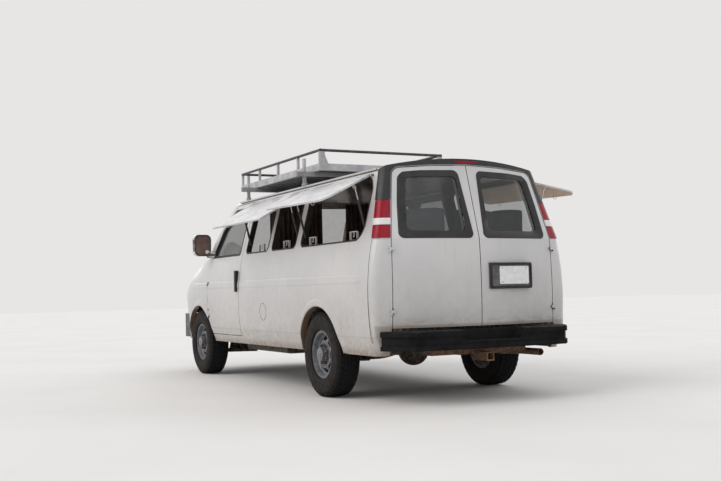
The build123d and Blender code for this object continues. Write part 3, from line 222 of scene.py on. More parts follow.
def body_paint():
    """White paint outside with dirt low down; faces that look inward have the dark lining, and jamb and
    door-gap faces get it too as painted shade.
    """
    s = Shade("white_paint")
    color = s.cloud((0.515, 0.518, 0.530), (0.575, 0.575, 0.580), 1.6, 4)
    streak = s.noise(16, 4, 0.6, (1, 1, 0.12))
    color = s.mix(s.ramp(streak, 0.52, 0.8, 0, 0.3), color, (0.42, 0.41, 0.40))
    z = s.axis("Z")
    y = s.axis("Y")
    ahead = s.ramp(y, CORNER_Y, CORNER_Y + 0.02, 1, 0)
    # Below the crease the rocker is painted lighter: a painted reflection of the bright ground.
    painted_rocker_reflection = s.times(s.ramp(z, CREASE_Z - 0.006, CREASE_Z - 0.002, 1, 0), ahead)
    color = s.mix(s.times(painted_rocker_reflection, 0.35), color, (0.66, 0.65, 0.63))
    # A thin dark line along the crease on the flanks: painted shade under the crease.
    line = s.ramp(s.away(z, CREASE_Z), 0.002, 0.006, 1, 0)
    flank = s.times(ahead, s.ramp(y, -1.62, -1.60))
    color = s.mix(s.times(s.times(line, flank), 0.45), color, (0.25, 0.24, 0.23))
    # Road dirt, most of it behind the wheels, and painted shade low on the flanks
    low = s.ramp(z, 0.40, 0.72, 1, 0)
    near_rear = s.ramp(s.away(y, 1.55), 0.35, 0.95, 1, 0)
    near_front = s.ramp(s.away(y, -1.85), 0.35, 0.85, 1, 0)
    splash = s.times(s.most(near_rear, near_front), s.ramp(z, 0.45, 1.0, 1, 0))
    dirt = s.most(low, s.times(splash, 0.75))
    rough_edge = s.times(dirt, s.ramp(s.noise(24, 7, 0.7), 0.3, 0.7, 0.1, 1.0))
    color = s.mix(s.times(rough_edge, 0.62), color, DUST)
    # Darker grey towards the bottom: grime, and painted shade on the lower body.
    grime_and_low_shade = s.times(s.ramp(z, 0.60, 1.40, 1, 0), s.ramp(s.noise(11, 6, 0.65), 0.25, 0.7, 0.5, 1.0))
    color = s.mix(s.times(grime_and_low_shade, 0.50), color, (0.33, 0.31, 0.29))
    hem = s.times(s.ramp(z, 0.42, 0.50, 1, 0), s.ramp(s.noise(30, 6, 0.7), 0.35, 0.6, 0.35, 1))
    color = s.mix(s.times(hem, 0.65), color, (0.19, 0.135, 0.09))
    # Smears and an edge of dirt low on the rear doors
    behind = s.ramp(y, CORNER_Y, CORNER_Y + 0.02)
    tail = s.times(behind, s.ramp(z, 0.655, 0.78, 1, 0))
    smear = s.times(tail, s.ramp(s.noise(9, 6, 0.7, (1, 1, 3), 0.6), 0.48, 0.62))
    color = s.mix(s.times(smear, 0.5), color, (0.33, 0.27, 0.21))
    edge_dirt = s.times(s.ramp(z, 0.652, 0.672, 1, 0), behind)
    color = s.mix(s.times(edge_dirt, 0.55), color, (0.20, 0.15, 0.11))
    chips = s.times(s.ramp(s.noise(90, 5, 0.7), 0.60, 0.68), s.ramp(z, 0.40, 0.50, 1, 0))
    color = s.mix(chips, color, MUD)
    specks = s.times(s.ramp(s.cells(26), 0.02, 0.06, 1, 0), s.ramp(s.noise(5), 0.55, 0.7))
    color = s.mix(s.times(specks, 0.5), color, (0.30, 0.22, 0.16))
    # Faces that look out keep the paint; the rest take the dark lining, which on jamb and door-gap faces is
    # painted shade
    side = s.times(s.axis("X", s.normal), s.calc("SIGN", s.axis("X")))
    out = s.ramp(side, 0.10, 0.16)
    back = s.times(s.ramp(s.axis("Y", s.normal), 0.25, 0.35), s.ramp(y, 2.33, 2.34))
    front = s.times(s.ramp(s.axis("Y", s.normal), -0.35, -0.25, 1, 0), s.ramp(y, -1.66, -1.65, 1, 0))
    top = s.ramp(s.axis("Z", s.normal), 0.45, 0.6)
    shown = s.most(s.most(out, top), s.most(back, front))
    # The lining colour, also used as painted shade on jamb and door-gap faces.
    lining = s.cloud(LINING, tuple(1.35 * c for c in LINING), 60, 4, 0.35, 0.65)
    color = s.mix(shown, lining, color)
    s.bump(s.calc("ADD", s.noise(3.2, 2), s.times(s.noise(500, 2), 0.004)), 0.35, 0.006)
    rough = s.ramp(s.calc("ADD", s.noise(12), rough_edge), 0.3, 1.3, 0.30, 0.7)
    return s.finish(color, rough, coat_weight=0.25, coat_roughness=0.12)


def flap_paint():
    """Worn paint on top, tan lining below."""
    s = Shade("flap_paint")
    top = s.ramp(s.axis("Z", s.normal), -0.75, -0.6)
    color = s.cloud((0.47, 0.47, 0.48), (0.56, 0.56, 0.57), 4)
    inner = s.ramp(s.calc("ABSOLUTE", s.axis("X")), 0.86, 1.08, 1, 0)
    patch = s.ramp(s.noise(7, 5, 0.6, (1, 0.35, 1), 0.6), 0.44, 0.54)
    color = s.mix(s.times(s.times(inner, patch), 0.8), color, (0.20, 0.21, 0.21))
    worn = s.ramp(s.noise(12, 6, 0.65, (1, 0.25, 1)), 0.50, 0.62, 0, 0.5)
    color = s.mix(worn, color, (0.32, 0.325, 0.33))
    under = s.mix(s.noise(30, 4), (0.42, 0.27, 0.16), (0.55, 0.38, 0.25))
    color = s.mix(top, under, color)
    s.bump(s.noise(5, 3), 0.4, 0.004)
    return s.finish(color, s.ramp(s.noise(20), 0.3, 0.7, 0.35, 0.6))


CLEAR_BAND_Z = 1.5325


def lamp_red():
    """Red lens with a clear band across it, edged by a dark line."""
    s = Shade("lamp_red")
    z = s.axis("Z")
    clear = s.times(s.ramp(z, 1.503, 1.506), s.ramp(z, 1.560, 1.563, 1, 0))
    ribs = s.bands(60)
    red = s.mix(s.ramp(ribs, 0.2, 0.8), (0.20, 0.001, 0.010), (0.33, 0.004, 0.022))
    pale = s.mix(s.noise(50), (0.62, 0.60, 0.60), (0.78, 0.78, 0.78))
    line = s.times(
        s.ramp(s.away(z, CLEAR_BAND_Z), 0.027, 0.030),
        s.ramp(s.away(z, CLEAR_BAND_Z), 0.032, 0.035, 1, 0),
    )
    color = s.mix(clear, red, pale)
    color = s.mix(line, color, (0.10, 0.01, 0.015))
    s.bump(ribs, 0.25, 0.002)
    return s.finish(color, s.ramp(s.noise(40), 0.3, 0.7, 0.10, 0.20), specular_ior_level=0.22)


def glass(name, tint, alpha):
    """Tinted glass with a faint film of dust."""
    s = Shade(name)
    film = s.noise(14, 5, 0.65, (1, 1, 0.5))
    color = s.mix(s.ramp(film, 0.50, 0.85, 0, 0.1), tint, (0.16, 0.16, 0.15))
    s.put(s.ramp(film, 0.35, 0.8, alpha, min(1, alpha + 0.03)), s.bsdf.inputs["Alpha"])
    return s.finish(color, s.ramp(film, 0.3, 0.8, 0.03, 0.16), coat_weight=0.5, coat_roughness=0.02)


def tyre_rubber():
    """Black tread, dusty side walls."""
    s = Shade("tyre_rubber")
    dust = s.noise(20, 6, 0.7)
    up = s.calc("POWER", s.calc("SUBTRACT", s.axis("Z"), TYRE_R), 2.0)
    radii = []
    for axle in AXLES:
        along = s.calc("POWER", s.calc("SUBTRACT", s.axis("Y"), axle), 2.0)
        radii.append(s.calc("SQRT", s.calc("ADD", up, along)))
    radius = s.calc("MINIMUM", *radii)
    wall = s.ramp(radius, 0.345, 0.362, 1, 0.12)
    color = s.cloud((0.006, 0.006, 0.007), (0.016, 0.015, 0.015), 120, 3)
    color = s.mix(s.times(wall, s.ramp(dust, 0.30, 0.72, 0.15, 0.7)), color, (0.046, 0.040, 0.036))
    s.bump(s.noise(260, 4), 0.4, 0.0015)
    return s.finish(color, 0.85, specular_ior_level=0.12)


def wheel_steel():
    s = Shade("wheel_steel")
    color = s.cloud((0.085, 0.095, 0.110), (0.17, 0.18, 0.195), 18, 5)
    color = s.mix(s.ramp(s.noise(40, 6, 0.7), 0.45, 0.75, 0, 0.6), color, (0.16, 0.13, 0.105))
    s.bump(s.noise(150, 4), 0.3, 0.001)
    return s.finish(color, s.ramp(s.noise(30), 0.3, 0.7, 0.4, 0.7), 0.35)


def rack_paint():
    """Pale worn paint, with the top rail dark."""
    s = Shade("rack_metal")
    pale = s.cloud((0.34, 0.345, 0.36), (0.50, 0.50, 0.51), 10, 5)
    pale = s.mix(s.ramp(s.noise(45, 6, 0.7), 0.55, 0.75, 0, 0.5), pale, (0.20, 0.17, 0.145))
    dark = s.cloud((0.022, 0.022, 0.032), (0.075, 0.070, 0.085), 30, 5, 0.4, 0.7)
    rail = s.ramp(s.axis("Z"), 2.3325, 2.3345)
    feet = s.ramp(s.axis("Z"), 2.146, 2.150, 1, 0)
    color = s.mix(rail, s.mix(s.times(feet, 0.55), pale, (0.12, 0.115, 0.12)), dark)
    s.bump(s.noise(200, 3), 0.15, 0.001)
    return s.finish(color, s.ramp(s.noise(30), 0.3, 0.7, 0.35, 0.6), 0.1)


def bumper_plastic():
    """Black plastic, scuffed pale along the edges that face up."""
    s = Shade("bumper_plastic")
    color = s.cloud((0.004, 0.004, 0.005), (0.010, 0.010, 0.011), 7, 5, 0.35, 0.65)
    up = s.ramp(s.axis("Z", s.normal), 0.2, 0.8)
    scuffs = s.ramp(s.noise(26, 7, 0.75, (1, 1, 2.5)), 0.46, 0.66)
    color = s.mix(s.times(s.times(up, scuffs), 0.5), color, (0.085, 0.075, 0.066))
    step = s.times(s.ramp(s.axis("Y"), 2.75, 2.77, 1, 0), s.ramp(s.axis("Z"), 0.50, 0.52))
    color = s.mix(s.times(step, s.ramp(s.noise(14, 5), 0.3, 0.6, 0.4, 0.9)), color, (0.009, 0.009, 0.010))
    marks = s.ramp(s.noise(60, 6, 0.7, (0.3, 1, 1)), 0.64, 0.74, 0, 0.4)
    color = s.mix(marks, color, (0.045, 0.040, 0.036))
    s.bump(s.noise(240, 3), 0.35, 0.001)
    return s.finish(color, s.ramp(s.noise(20), 0.3, 0.7, 0.50, 0.75), specular_ior_level=0.10)


def rust():
    s = Shade("rusty_steel")
    spots = s.noise(28, 6, 0.7)
    color = s.mix(s.ramp(spots, 0.4, 0.62), (0.085, 0.06, 0.045), (0.23, 0.12, 0.06))
    s.bump(spots, 0.5, 0.002)
    return s.finish(color, 0.8, 0.3)


M = {
    "paint": body_paint(),
    "flap": flap_paint(),
    "black": plain("black_plastic", (0.008, 0.008, 0.009), (0.022, 0.021, 0.021), (0.38, 0.62), 7, 220, 0.35,
                   dust=0.12),
    "bumper": bumper_plastic(),
    "trim": plain("black_trim", (0.009, 0.009, 0.010), (0.020, 0.020, 0.022), (0.32, 0.48), 6, 300, 0.1,
                  specular_ior_level=0.35),
    "rubber": plain("rubber", (0.010, 0.010, 0.010), (0.026, 0.024, 0.023), (0.55, 0.75), 12, 300, 0.2),
    "grey": plain("grey_plastic", (0.05, 0.05, 0.05), (0.10, 0.10, 0.10), (0.4, 0.6), 8, 260, 0.2, dust=0.2),
    "tan": plain("tan_plastic", (0.16, 0.12, 0.085), (0.24, 0.18, 0.13), (0.5, 0.7), 8, 260, 0.2),
    "under": plain("dark_steel", (0.022, 0.020, 0.018), (0.055, 0.047, 0.040), (0.6, 0.85), 10, 90, 0.4, 0.2,
                   dust=0.5),
    "rust": rust(),
    "steel": plain("bare_steel", (0.40, 0.40, 0.41), (0.58, 0.58, 0.58), (0.18, 0.35), 12, 400, 0.1, 0.9),
    "strut": plain("strut_black", (0.012, 0.012, 0.012), (0.035, 0.034, 0.033), (0.35, 0.5),
                   20, 300, 0.1, 0.3),
    "rack": rack_paint(),
    "panel": plain("panel_glass", (0.010, 0.011, 0.018), (0.020, 0.022, 0.035), (0.1, 0.22), 6, 200, 0.05,
                   dust=0.3),
    "engine": plain("engine_metal", (0.05, 0.045, 0.04), (0.11, 0.10, 0.09), (0.5, 0.7), 14, 90, 0.5, 0.4,
                    dust=0.3),
    "lamp": lamp_red(),
    "clear": plain("lamp_clear", (0.60, 0.62, 0.64), (0.78, 0.80, 0.82), (0.05, 0.15), 20, 200, 0.1,
                   coat_weight=0.8),
    "glass": glass("tinted_glass", (0.028, 0.034, 0.036), 0.42),
    "door_glass": glass("door_glass", (0.05, 0.07, 0.065), 0.34),
    "tyre": tyre_rubber(),
    "wheel": wheel_steel(),
    "wood": plain("plywood", (0.26, 0.17, 0.10), (0.38, 0.26, 0.16), (0.5, 0.7), 4, 160, 0.2),
    "bedding": plain("bedding", (0.22, 0.28, 0.31), (0.34, 0.41, 0.44), (0.8, 0.95), 7, 700, 0.5),
    "cloth": plain("seat_cloth", (0.12, 0.11, 0.10), (0.18, 0.165, 0.15), (0.8, 0.95), 8, 800, 0.5),
    "plate": plain("plate_white", (0.66, 0.67, 0.68), (0.76, 0.76, 0.76), (0.3, 0.45), 20, 200, 0.1,
                   dust=0.1),
    # Mirror glass tinted reddish-brown: a painted reflection of a warm sunset sky.
    "mirror": plain("mirror_glass_painted_reflection", (0.17, 0.115, 0.10), (0.27, 0.185, 0.16), (0.10, 0.22),
                    8, 200, 0.02, 0.3),
    "shell": plain("mirror_shell", (0.045, 0.033, 0.030), (0.10, 0.070, 0.060), (0.35, 0.55), 8, 260, 0.2),
    "curtain": plain("curtain_cloth", (0.060, 0.040, 0.030), (0.105, 0.070, 0.052), (0.85, 0.95), 6, 900, 0.5,
                     sheen_weight=0.2),
    "pillow": plain("pillow_cloth", (0.10, 0.125, 0.135), (0.17, 0.205, 0.215), (0.85, 0.95), 5, 800, 0.5,
                    sheen_weight=0.2),
    "hub": plain("hub_steel", (0.13, 0.135, 0.145), (0.22, 0.22, 0.23), (0.4, 0.6), 18, 120, 0.3, 0.3,
                 dust=0.15),
    "white": plain("white_metal", (0.56, 0.55, 0.54), (0.70, 0.69, 0.67), (0.4, 0.6), 14, 200, 0.2,
                   dust=0.12),
}

KIND_OF = {
    "white_paint": "paint", "flap_paint": "flap", "black_plastic": "black", "grey_plastic": "grey",
    "tan_plastic": "tan", "tinted_glass": "glass", "panel_glass": "panel", "bare_steel": "steel",
    "rusty_steel": "rust", "dark_steel": "under", "wheel_steel": "wheel", "rack_metal": "rack",
    "strut_black": "strut", "engine_metal": "engine", "lamp_red": "lamp", "lamp_clear": "clear",
    "tyre_rubber": "tyre", "plywood": "wood", "bedding": "bedding", "seat_cloth": "cloth",
}
KIND_OF_NODE = {
    "door_glass_left": "door_glass", "door_glass_right": "door_glass", "windscreen": "door_glass",
    "rear_trim": "trim", "rear_bumper": "bumper", "front_bumper": "grey",
}
for part in frame["record"]["subparts"]:
    kind = KIND_OF_NODE.get(part["node"], KIND_OF[part["material_slot"]])
    piece = nodes[part["node"]]
    piece.data.materials.clear()
    piece.data.materials.append(M[kind])


# Mesh helpers
def new_piece(name, verts, faces, kind, body, smooth=True, bevel=0.0):
    """A mesh from points and faces, with its normals turned outward."""
    data = bpy.data.meshes.new(name)
    work = bmesh.new()
    made = [work.verts.new(v) for v in verts]
    for face in faces:
        try:
            work.faces.new([made[i] for i in face])
        except ValueError:
            pass
    bmesh.ops.recalc_face_normals(work, faces=work.faces)
    work.to_mesh(data)
    work.free()
    piece = bpy.data.objects.new(name, data)
    scene.collection.objects.link(piece)
    data.materials.append(M[kind])
    if bevel:
        mod = piece.modifiers.new("bevel", "BEVEL")
        mod.width = bevel
        mod.segments = 2
        mod.limit_method = "ANGLE"
    if smooth:
        for p in data.polygons:
            p.use_smooth = True
        data.set_sharp_from_angle(angle=radians(38))
    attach(piece, body)
    return piece


def join_parts(name, parts, kind, body, bevel=0.0, smooth=True):
    """One piece from several (verts, faces) pairs."""
    verts, faces = [], []
    for v, f in parts:
        start = len(verts)
        verts += list(v)
        faces += [tuple(start + i for i in face) for face in f]
    return new_piece(name, verts, faces, kind, body, smooth, bevel)


def sheet_faces(steps, rows):
    """The faces of a strip of points laid out row by row."""
    return [
        (i * rows + k, i * rows + k + 1, (i + 1) * rows + k + 1, (i + 1) * rows + k)
        for i in range(steps)
        for k in range(rows - 1)
    ]


def slab(low, high):
    """A box between two corners, for join_parts; it always gets a bevel."""
    verts = [
        Vector((x, y, z)) for x in (low[0], high[0]) for y in (low[1], high[1]) for z in (low[2], high[2])
    ]
    return verts, [(0, 1, 3, 2), (4, 6, 7, 5), (0, 4, 5, 1), (2, 3, 7, 6), (0, 2, 6, 4), (1, 5, 7, 3)]


def tube(points, radius, sides=10, closed=False):
    """A round tube along points, for join_parts."""
    points = [Vector(p) for p in points]
    count = len(points)
    verts, faces = [], []
    side = None
    for i, p in enumerate(points):
        before = points[(i - 1) % count] if closed or i else points[0]
        after = points[(i + 1) % count] if closed or i < count - 1 else points[-1]
        way = (after - before).normalized()
        if side is None:
            side = way.orthogonal().normalized()
        side = (side - way * side.dot(way)).normalized()
        up = way.cross(side)
        for k in range(sides):
            a = 2 * pi * k / sides
            verts.append(p + radius * (cos(a) * side + sin(a) * up))
    loops = count if closed else count - 1
    for i in range(loops):
        for k in range(sides):
            a, b = i * sides + k, i * sides + (k + 1) % sides
            c, d = ((i + 1) % count) * sides + (k + 1) % sides, ((i + 1) % count) * sides + k
            faces.append((a, b, c, d))
    if not closed:
        faces.append(tuple(range(sides))[::-1])
        faces.append(tuple((count - 1) * sides + k for k in range(sides)))
    return verts, faces


def lathe(profile, centre, hand=1, steps=48, shape=None):
    """Turns (x, radius) points about the X axis through centre. shape(i, j, x, r) may move a point."""
    verts, faces = [], []
    rows = len(profile)
    for j in range(steps):
        a = 2 * pi * j / steps
        for i, (x, r) in enumerate(profile):
            if shape:
                x, r = shape(i, j, x, r)
            verts.append(Vector((centre[0] + hand * x, centre[1] + r * sin(a), centre[2] + r * cos(a))))
    for j in range(steps):
        for i in range(rows - 1):
            a, b = j * rows + i, j * rows + i + 1
            c, d = ((j + 1) % steps) * rows + i + 1, ((j + 1) % steps) * rows + i
            faces.append((a, b, c, d))
    return verts, faces


def grow(outline, distance):
    """Moves a convex outline out (or in, when negative) by a distance."""
    count = len(outline)
    area = sum(a[0] * b[1] - b[0] * a[1] for a, b in zip(outline, [*outline[1:], outline[0]]))
    sign = 1 if area > 0 else -1
    result = []
    for i in range(count):
        p0, p1, p2 = (Vector(outline[(i + k) % count]) for k in (-1, 0, 1))
        d1, d2 = (p1 - p0).normalized(), (p2 - p1).normalized()
        n1 = Vector((d1.y, -d1.x)) * sign
        n2 = Vector((d2.y, -d2.x)) * sign
        mid = n1 + n2
        result.append(tuple(p1 + mid * (distance / (0.5 * mid.dot(mid)) if mid.length > 0 else 0)))
    return result


def rounded(outline, radii, arc=6, step=0.06):
    """The outline with its corners rounded and its sides divided."""
    count = len(outline)
    if isinstance(radii, (int, float)):
        radii = [radii] * count
    corners = []
    for i in range(count):
        p0, p1, p2 = (Vector(outline[(i + k) % count]) for k in (-1, 0, 1))
        d1, d2 = (p0 - p1).normalized(), (p2 - p1).normalized()
        reach = min(radii[i] / tan(d1.angle(d2) / 2), 0.48 * (p1 - p0).length, 0.48 * (p2 - p1).length)
        corners.append((p1 + d1 * reach, p1, p1 + d2 * reach))
    points = []
    for i, (a, tip, b) in enumerate(corners):
        for k in range(arc + 1):
            t = k / arc
            points.append((1 - t) ** 2 * a + 2 * t * (1 - t) * (0.45 * tip + 0.275 * (a + b)) + t * t * b)
        end = corners[(i + 1) % count][0]
        pieces = max(1, round((end - b).length / step))
        points += [b + (end - b) * (k / pieces) for k in range(1, pieces)]
    return points


# The body's outer surface, read from the solids
def tree_of(*names):
    """A ray-casting tree of the named solids."""
    verts, faces = [], []
    for name in names:
        data = nodes[name].data
        start = len(verts)
        verts += [v.co.copy() for v in data.vertices]
        faces += [tuple(start + i for i in p.vertices) for p in data.polygons]
    return BVHTree.FromPolygons(verts, faces)


side_tree = tree_of("side_left")
side_heights = np.arange(0.42, 1.99, 0.015)
side_widths = []
for z in side_heights:
    hit = side_tree.ray_cast(Vector((3, 0.912, z)), Vector((-1, 0, 0)))[0]
    side_widths.append(hit.x if hit else side_widths[-1])


def half(z):
    """Half the body's width at a height."""
    return float(np.interp(z, side_heights, side_widths))


def side_point(y, z, out, hand=1):
    """A point on or off the flank, out metres from its surface."""
    return Vector((hand * (half(z) + out), y, z))


rear_tree = tree_of("rear_door_left")


def rear_terms(x, z):
    return (1, z, z * z, x * x, x**4, x * x * z)


def fit_rear(low, high):
    """The rear doors' face between two heights, as one smooth surface through ray hits."""
    rows, values = [], []
    for z in np.linspace(low, high, 24):
        for x in np.linspace(0.02, 0.76, 30):
            hit = rear_tree.ray_cast(Vector((x, 4, z)), Vector((0, -1, 0)))
            if hit[0] and hit[1].y > 0.6:
                rows.append(rear_terms(x, z))
                values.append(hit[0].y)
    return np.linalg.lstsq(np.array(rows), np.array(values), rcond=None)[0]


WAIST_Z = 1.39
REAR_LOW = fit_rear(0.66, WAIST_Z - 0.005)
REAR_HIGH = fit_rear(WAIST_Z + 0.005, 1.99)


def rear_y(x, z):
    return float(np.dot(REAR_LOW if z < WAIST_Z else REAR_HIGH, rear_terms(x, z)))


def rear_point(x, z, out, hand=1):
    return Vector((hand * x, rear_y(x, z) + out, z))


def ring(name, outer, inner, surface, profile, kind, body, hand=1):
    """A frame between two outlines with equal point counts. profile has (share inward, height out)."""
    verts, faces = [], []
    rows, count = len(profile), len(outer)
    for a, b in zip(outer, inner):
        for share, out in profile:
            p = Vector(a).lerp(Vector(b), share)
            verts.append(surface(p[0], p[1], out, hand))
    for i in range(count):
        for k in range(rows - 1):
            j = (i + 1) % count
            faces.append((i * rows + k, i * rows + k + 1, j * rows + k + 1, j * rows + k))
    return new_piece(name, verts, faces, kind, body)


def strip(name, line, width, surface, out, kind, body, hand=1):
    """A thin ribbon along a line on the body's surface."""
    verts = []
    points = [Vector(p) for p in line]
    last = len(points) - 1
    for i, p in enumerate(points):
        way = (points[min(i + 1, last)] - points[max(i - 1, 0)]).normalized()
        n = Vector((way.y, -way.x))
        for share, height in ((-0.5, -0.001), (-0.5, out), (0.5, out), (0.5, -0.001)):
            q = p + n * width * share
            verts.append(surface(q[0], q[1], height, hand))
    return new_piece(name, verts, sheet_faces(last, 4), kind, body)


def box_outline(low_y, high_y, low_z, high_z):
    return [(low_y, low_z), (high_y, low_z), (high_y, high_z), (low_y, high_z)]


def trimmed_ring(name, outer, inner, *rest):
    """A ring whose outlines may differ by a point or two."""
    count = min(len(outer), len(inner))
    return ring(name, outer[:count], inner[:count], *rest)


# Rubber around the windows
EDGE = ((0, -0.001), (0.05, 0.004), (0.3, 0.006), (0.7, 0.005), (1, 0.001), (1, -0.054))
for index, (front, back, r1, r2) in enumerate(WINDOWS):
    hole = box_outline(front, back, SILL, LINTEL)
    radii = (r1, r2, r2, r1)
    outer = rounded(grow(hole, 0.012), [r + 0.012 for r in radii])
    inner = rounded(grow(hole, -0.002), [r - 0.002 for r in radii])
    for hand, side in SIDES if index == 2 else SIDES[:1]:
        trimmed_ring(f"window_rubber_{side}_{index}", outer, inner, side_point, EDGE, "rubber", "body", hand)

SHALLOW = ((0, -0.001), (0.08, 0.003), (0.5, 0.004), (0.92, 0.003), (1, -0.003), (1, -0.03))
for hand, side in SIDES:
    radii = (0.02, 0.03, 0.04, 0.06, 0.03)
    outer = rounded(grow(FRONT_WINDOW, 0.016), radii)
    inner = rounded(grow(FRONT_WINDOW, -0.010), radii)
    name, door = f"door_window_rubber_{side}", f"door_{side}"
    trimmed_ring(name, outer, inner, side_point, SHALLOW, "rubber", door, hand)
for node, front, back in (("side_door_front", -0.440, 0.110), ("side_door_rear", 0.272, 0.826)):
    hole = box_outline(front, back, SILL + 0.010, LINTEL - 0.030)
    outer, inner = rounded(grow(hole, 0.016), 0.055), rounded(grow(hole, -0.010), 0.03)
    trimmed_ring(f"{node}_rubber", outer, inner, side_point, SHALLOW, "rubber", node, -1)

# Rear panes with their black band
BAND = ((0, -0.001), (0.02, 0.0035), (0.97, 0.0035), (1, 0.002), (1, -0.02))
BAND_STEPS = 120


def even(points):
    """The closed outline again, in equal steps."""
    loop = points + [points[0]]
    lengths = [0.0]
    for a, b in zip(loop, loop[1:]):
        lengths.append(lengths[-1] + (b - a).length)
    result = []
    for k in range(BAND_STEPS):
        d = lengths[-1] * k / BAND_STEPS
        i = max(j for j in range(len(loop) - 1) if lengths[j] <= d + 1e-9)
        t = (d - lengths[i]) / max(lengths[i + 1] - lengths[i], 1e-9)
        result.append(loop[i].lerp(loop[i + 1], t))
    return result


pane = even(rounded(REAR_PANE, (0.035, 0.035, 0.4, 0.070, 0.4, 0.040), 6, 0.05))
clear = even(rounded(REAR_CLEAR, (0.035, 0.035, 0.4, 0.035, 0.035), 6, 0.05))
for hand, side in SIDES:
    ring(f"rear_pane_band_{side}", pane, clear, rear_point, BAND, "trim", f"rear_door_{side}", hand)


# Wheel arch lips
ARCH_LIP = ((0.438, -0.030), (0.438, 0.010), (0.446, 0.016), (0.468, 0.015), (0.492, 0.008), (0.512, -0.001))


def arch_lip(name, axle, hand, from_deg, to_deg, surface_half):
    """A raised rim round part of a wheel arch: (radius, height out) points swept round the axle."""
    verts = []
    steps = 40
    for i in range(steps + 1):
        a = radians(from_deg + (to_deg - from_deg) * i / steps)
        for r, out in ARCH_LIP:
            y, z = axle - r * cos(a), TYRE_R + r * sin(a)
            verts.append(Vector((hand * (surface_half(y, z) + out), y, z)))
    return new_piece(name, verts, sheet_faces(steps, len(ARCH_LIP)), "paint", "body")


for hand, side in SIDES:
    arch_lip(f"arch_lip_rear_{side}", AXLES[1], hand, 4, 176, lambda y, z: half(z))
nose_tree = tree_of("fenders")


def nose_half(y, z):
    """Half the width of the nose at a place on its side."""
    hit = nose_tree.ray_cast(Vector((3, y, z)), Vector((-1, 0, 0)))[0]
    return hit.x if hit and hit.x > 0.6 else half(z)


for hand, side in SIDES:
    arch_lip(f"arch_lip_front_{side}", AXLES[0], hand, 4, 139, nose_half)


# The raised band along the flanks, one length per panel
SPEAR_Z, SPEAR_HALF, SPEAR_OUT, SPEAR_TAPER = 1.056, 0.040, 0.0055, 0.10


def end_taper(distance):
    return sqrt(max(0.0, 1 - (1 - min(1, distance / SPEAR_TAPER)) ** 2))


def spear(name, start, end, taper_start, taper_end, hand, body):
    verts = []
    rows = 9
    steps = max(6, int((end - start) / 0.06))
    for i in range(steps + 1):
        y = start + (end - start) * i / steps
        closing = 1.0
        if taper_start:
            closing = min(closing, end_taper(y - start))
        if taper_end:
            closing = min(closing, end_taper(end - y))
        for k in range(rows):
            t = k / (rows - 1) * 2 - 1
            z = SPEAR_Z + SPEAR_HALF * closing * t
            out = SPEAR_OUT * min(1.0, (1 - abs(t)) * 3.2) ** 0.7 * closing - 0.0003
            base = nose_half(y, z) if y < BODY_FRONT_Y else half(z)
            verts.append(Vector((hand * (base + out), y, z)))
    return new_piece(name, verts, sheet_faces(steps, rows), "paint", body)


for hand, side in SIDES:
    spear(f"flank_band_nose_{side}", -2.30, -1.645, True, False, hand, "body")
    spear(f"flank_band_door_{side}", -1.635, -0.593, False, False, hand, f"door_{side}")
spear("flank_band_left", -0.583, 2.36, False, True, 1, "body")
spear("flank_band_right_door_front", -0.521, 0.185, False, False, -1, "side_door_front")
spear("flank_band_right_door_rear", 0.195, 0.906, False, False, -1, "side_door_rear")
spear("flank_band_right", 0.918, 2.36, False, True, -1, "body")

# Seams of the rear corners and of the filler door
SEAM_W, SEAM_OUT = 0.004, 0.0008
for hand, side in SIDES:
    seam = [(2.488 + 0.024 * (1.38 - z) / 0.9 - 0.03, z) for z in np.linspace(0.52, 1.385, 20)]
    strip(f"corner_seam_{side}", seam, SEAM_W, side_point, SEAM_OUT, "rubber", "body", hand)
FILLER_Y, FILLER_Z, FILLER_R = 0.120, 0.766, 0.087
filler = [
    (FILLER_Y + FILLER_R * cos(a), FILLER_Z + FILLER_R * sin(a)) for a in np.linspace(0, 2 * pi, 49)
]
strip("filler_seam", filler, SEAM_W, side_point, SEAM_OUT, "rubber", "body")

# Plate housing: a black surround with the blank plate inside
PLATE_LEFT, PLATE_RIGHT, PLATE_LOW, PLATE_HIGH = 0.181, 0.486, 0.989, 1.143


def plate_point(x, z, out, hand=1):
    return Vector((-x, REAR_Y + out, z))


def disc_faces(count, cap_first):
    """The faces of two rings of points and of the cap over one of them."""
    start = 0 if cap_first else count
    walls = [(i, (i + 1) % count, count + (i + 1) % count, count + i) for i in range(count)]
    return [tuple(range(start, start + count))] + walls


outer = rounded(box_outline(0.081, 0.522, 0.949, 1.175), 0.02, 5, 0.05)
inner = rounded(box_outline(0.106, 0.500, 0.972, 1.155), 0.012, 5, 0.05)
surround = ((0, -0.05), (0, 0.004), (0.2, 0.010), (0.8, 0.010), (1, 0.004), (1, 0.0003))
trimmed_ring("plate_surround", outer, inner, plate_point, surround, "trim", "rear_door_right")
outer = rounded(box_outline(PLATE_LEFT, PLATE_RIGHT, PLATE_LOW, PLATE_HIGH), 0.01, 4, 0.06)
verts = [plate_point(p[0], p[1], out) for out in (0.0005, 0.0035) for p in outer]
new_piece("plate", verts, disc_faces(len(outer), False), "plate", "rear_door_right")
for x in (0.21, 0.457):
    for z in (1.005, 1.128):
        points, faces = lathe(((0, 0), (0.003, 0.004), (0.004, 0.006), (0, 0.007)), (0, 0, 0), 1, 10)
        verts = [Vector((-x + v.y, REAR_Y + 0.004 + v.x, z + v.z)) for v in points]
        new_piece(f"plate_screw_{x}_{z}".replace(".", "_"), verts, faces, "steel", "rear_door_right")


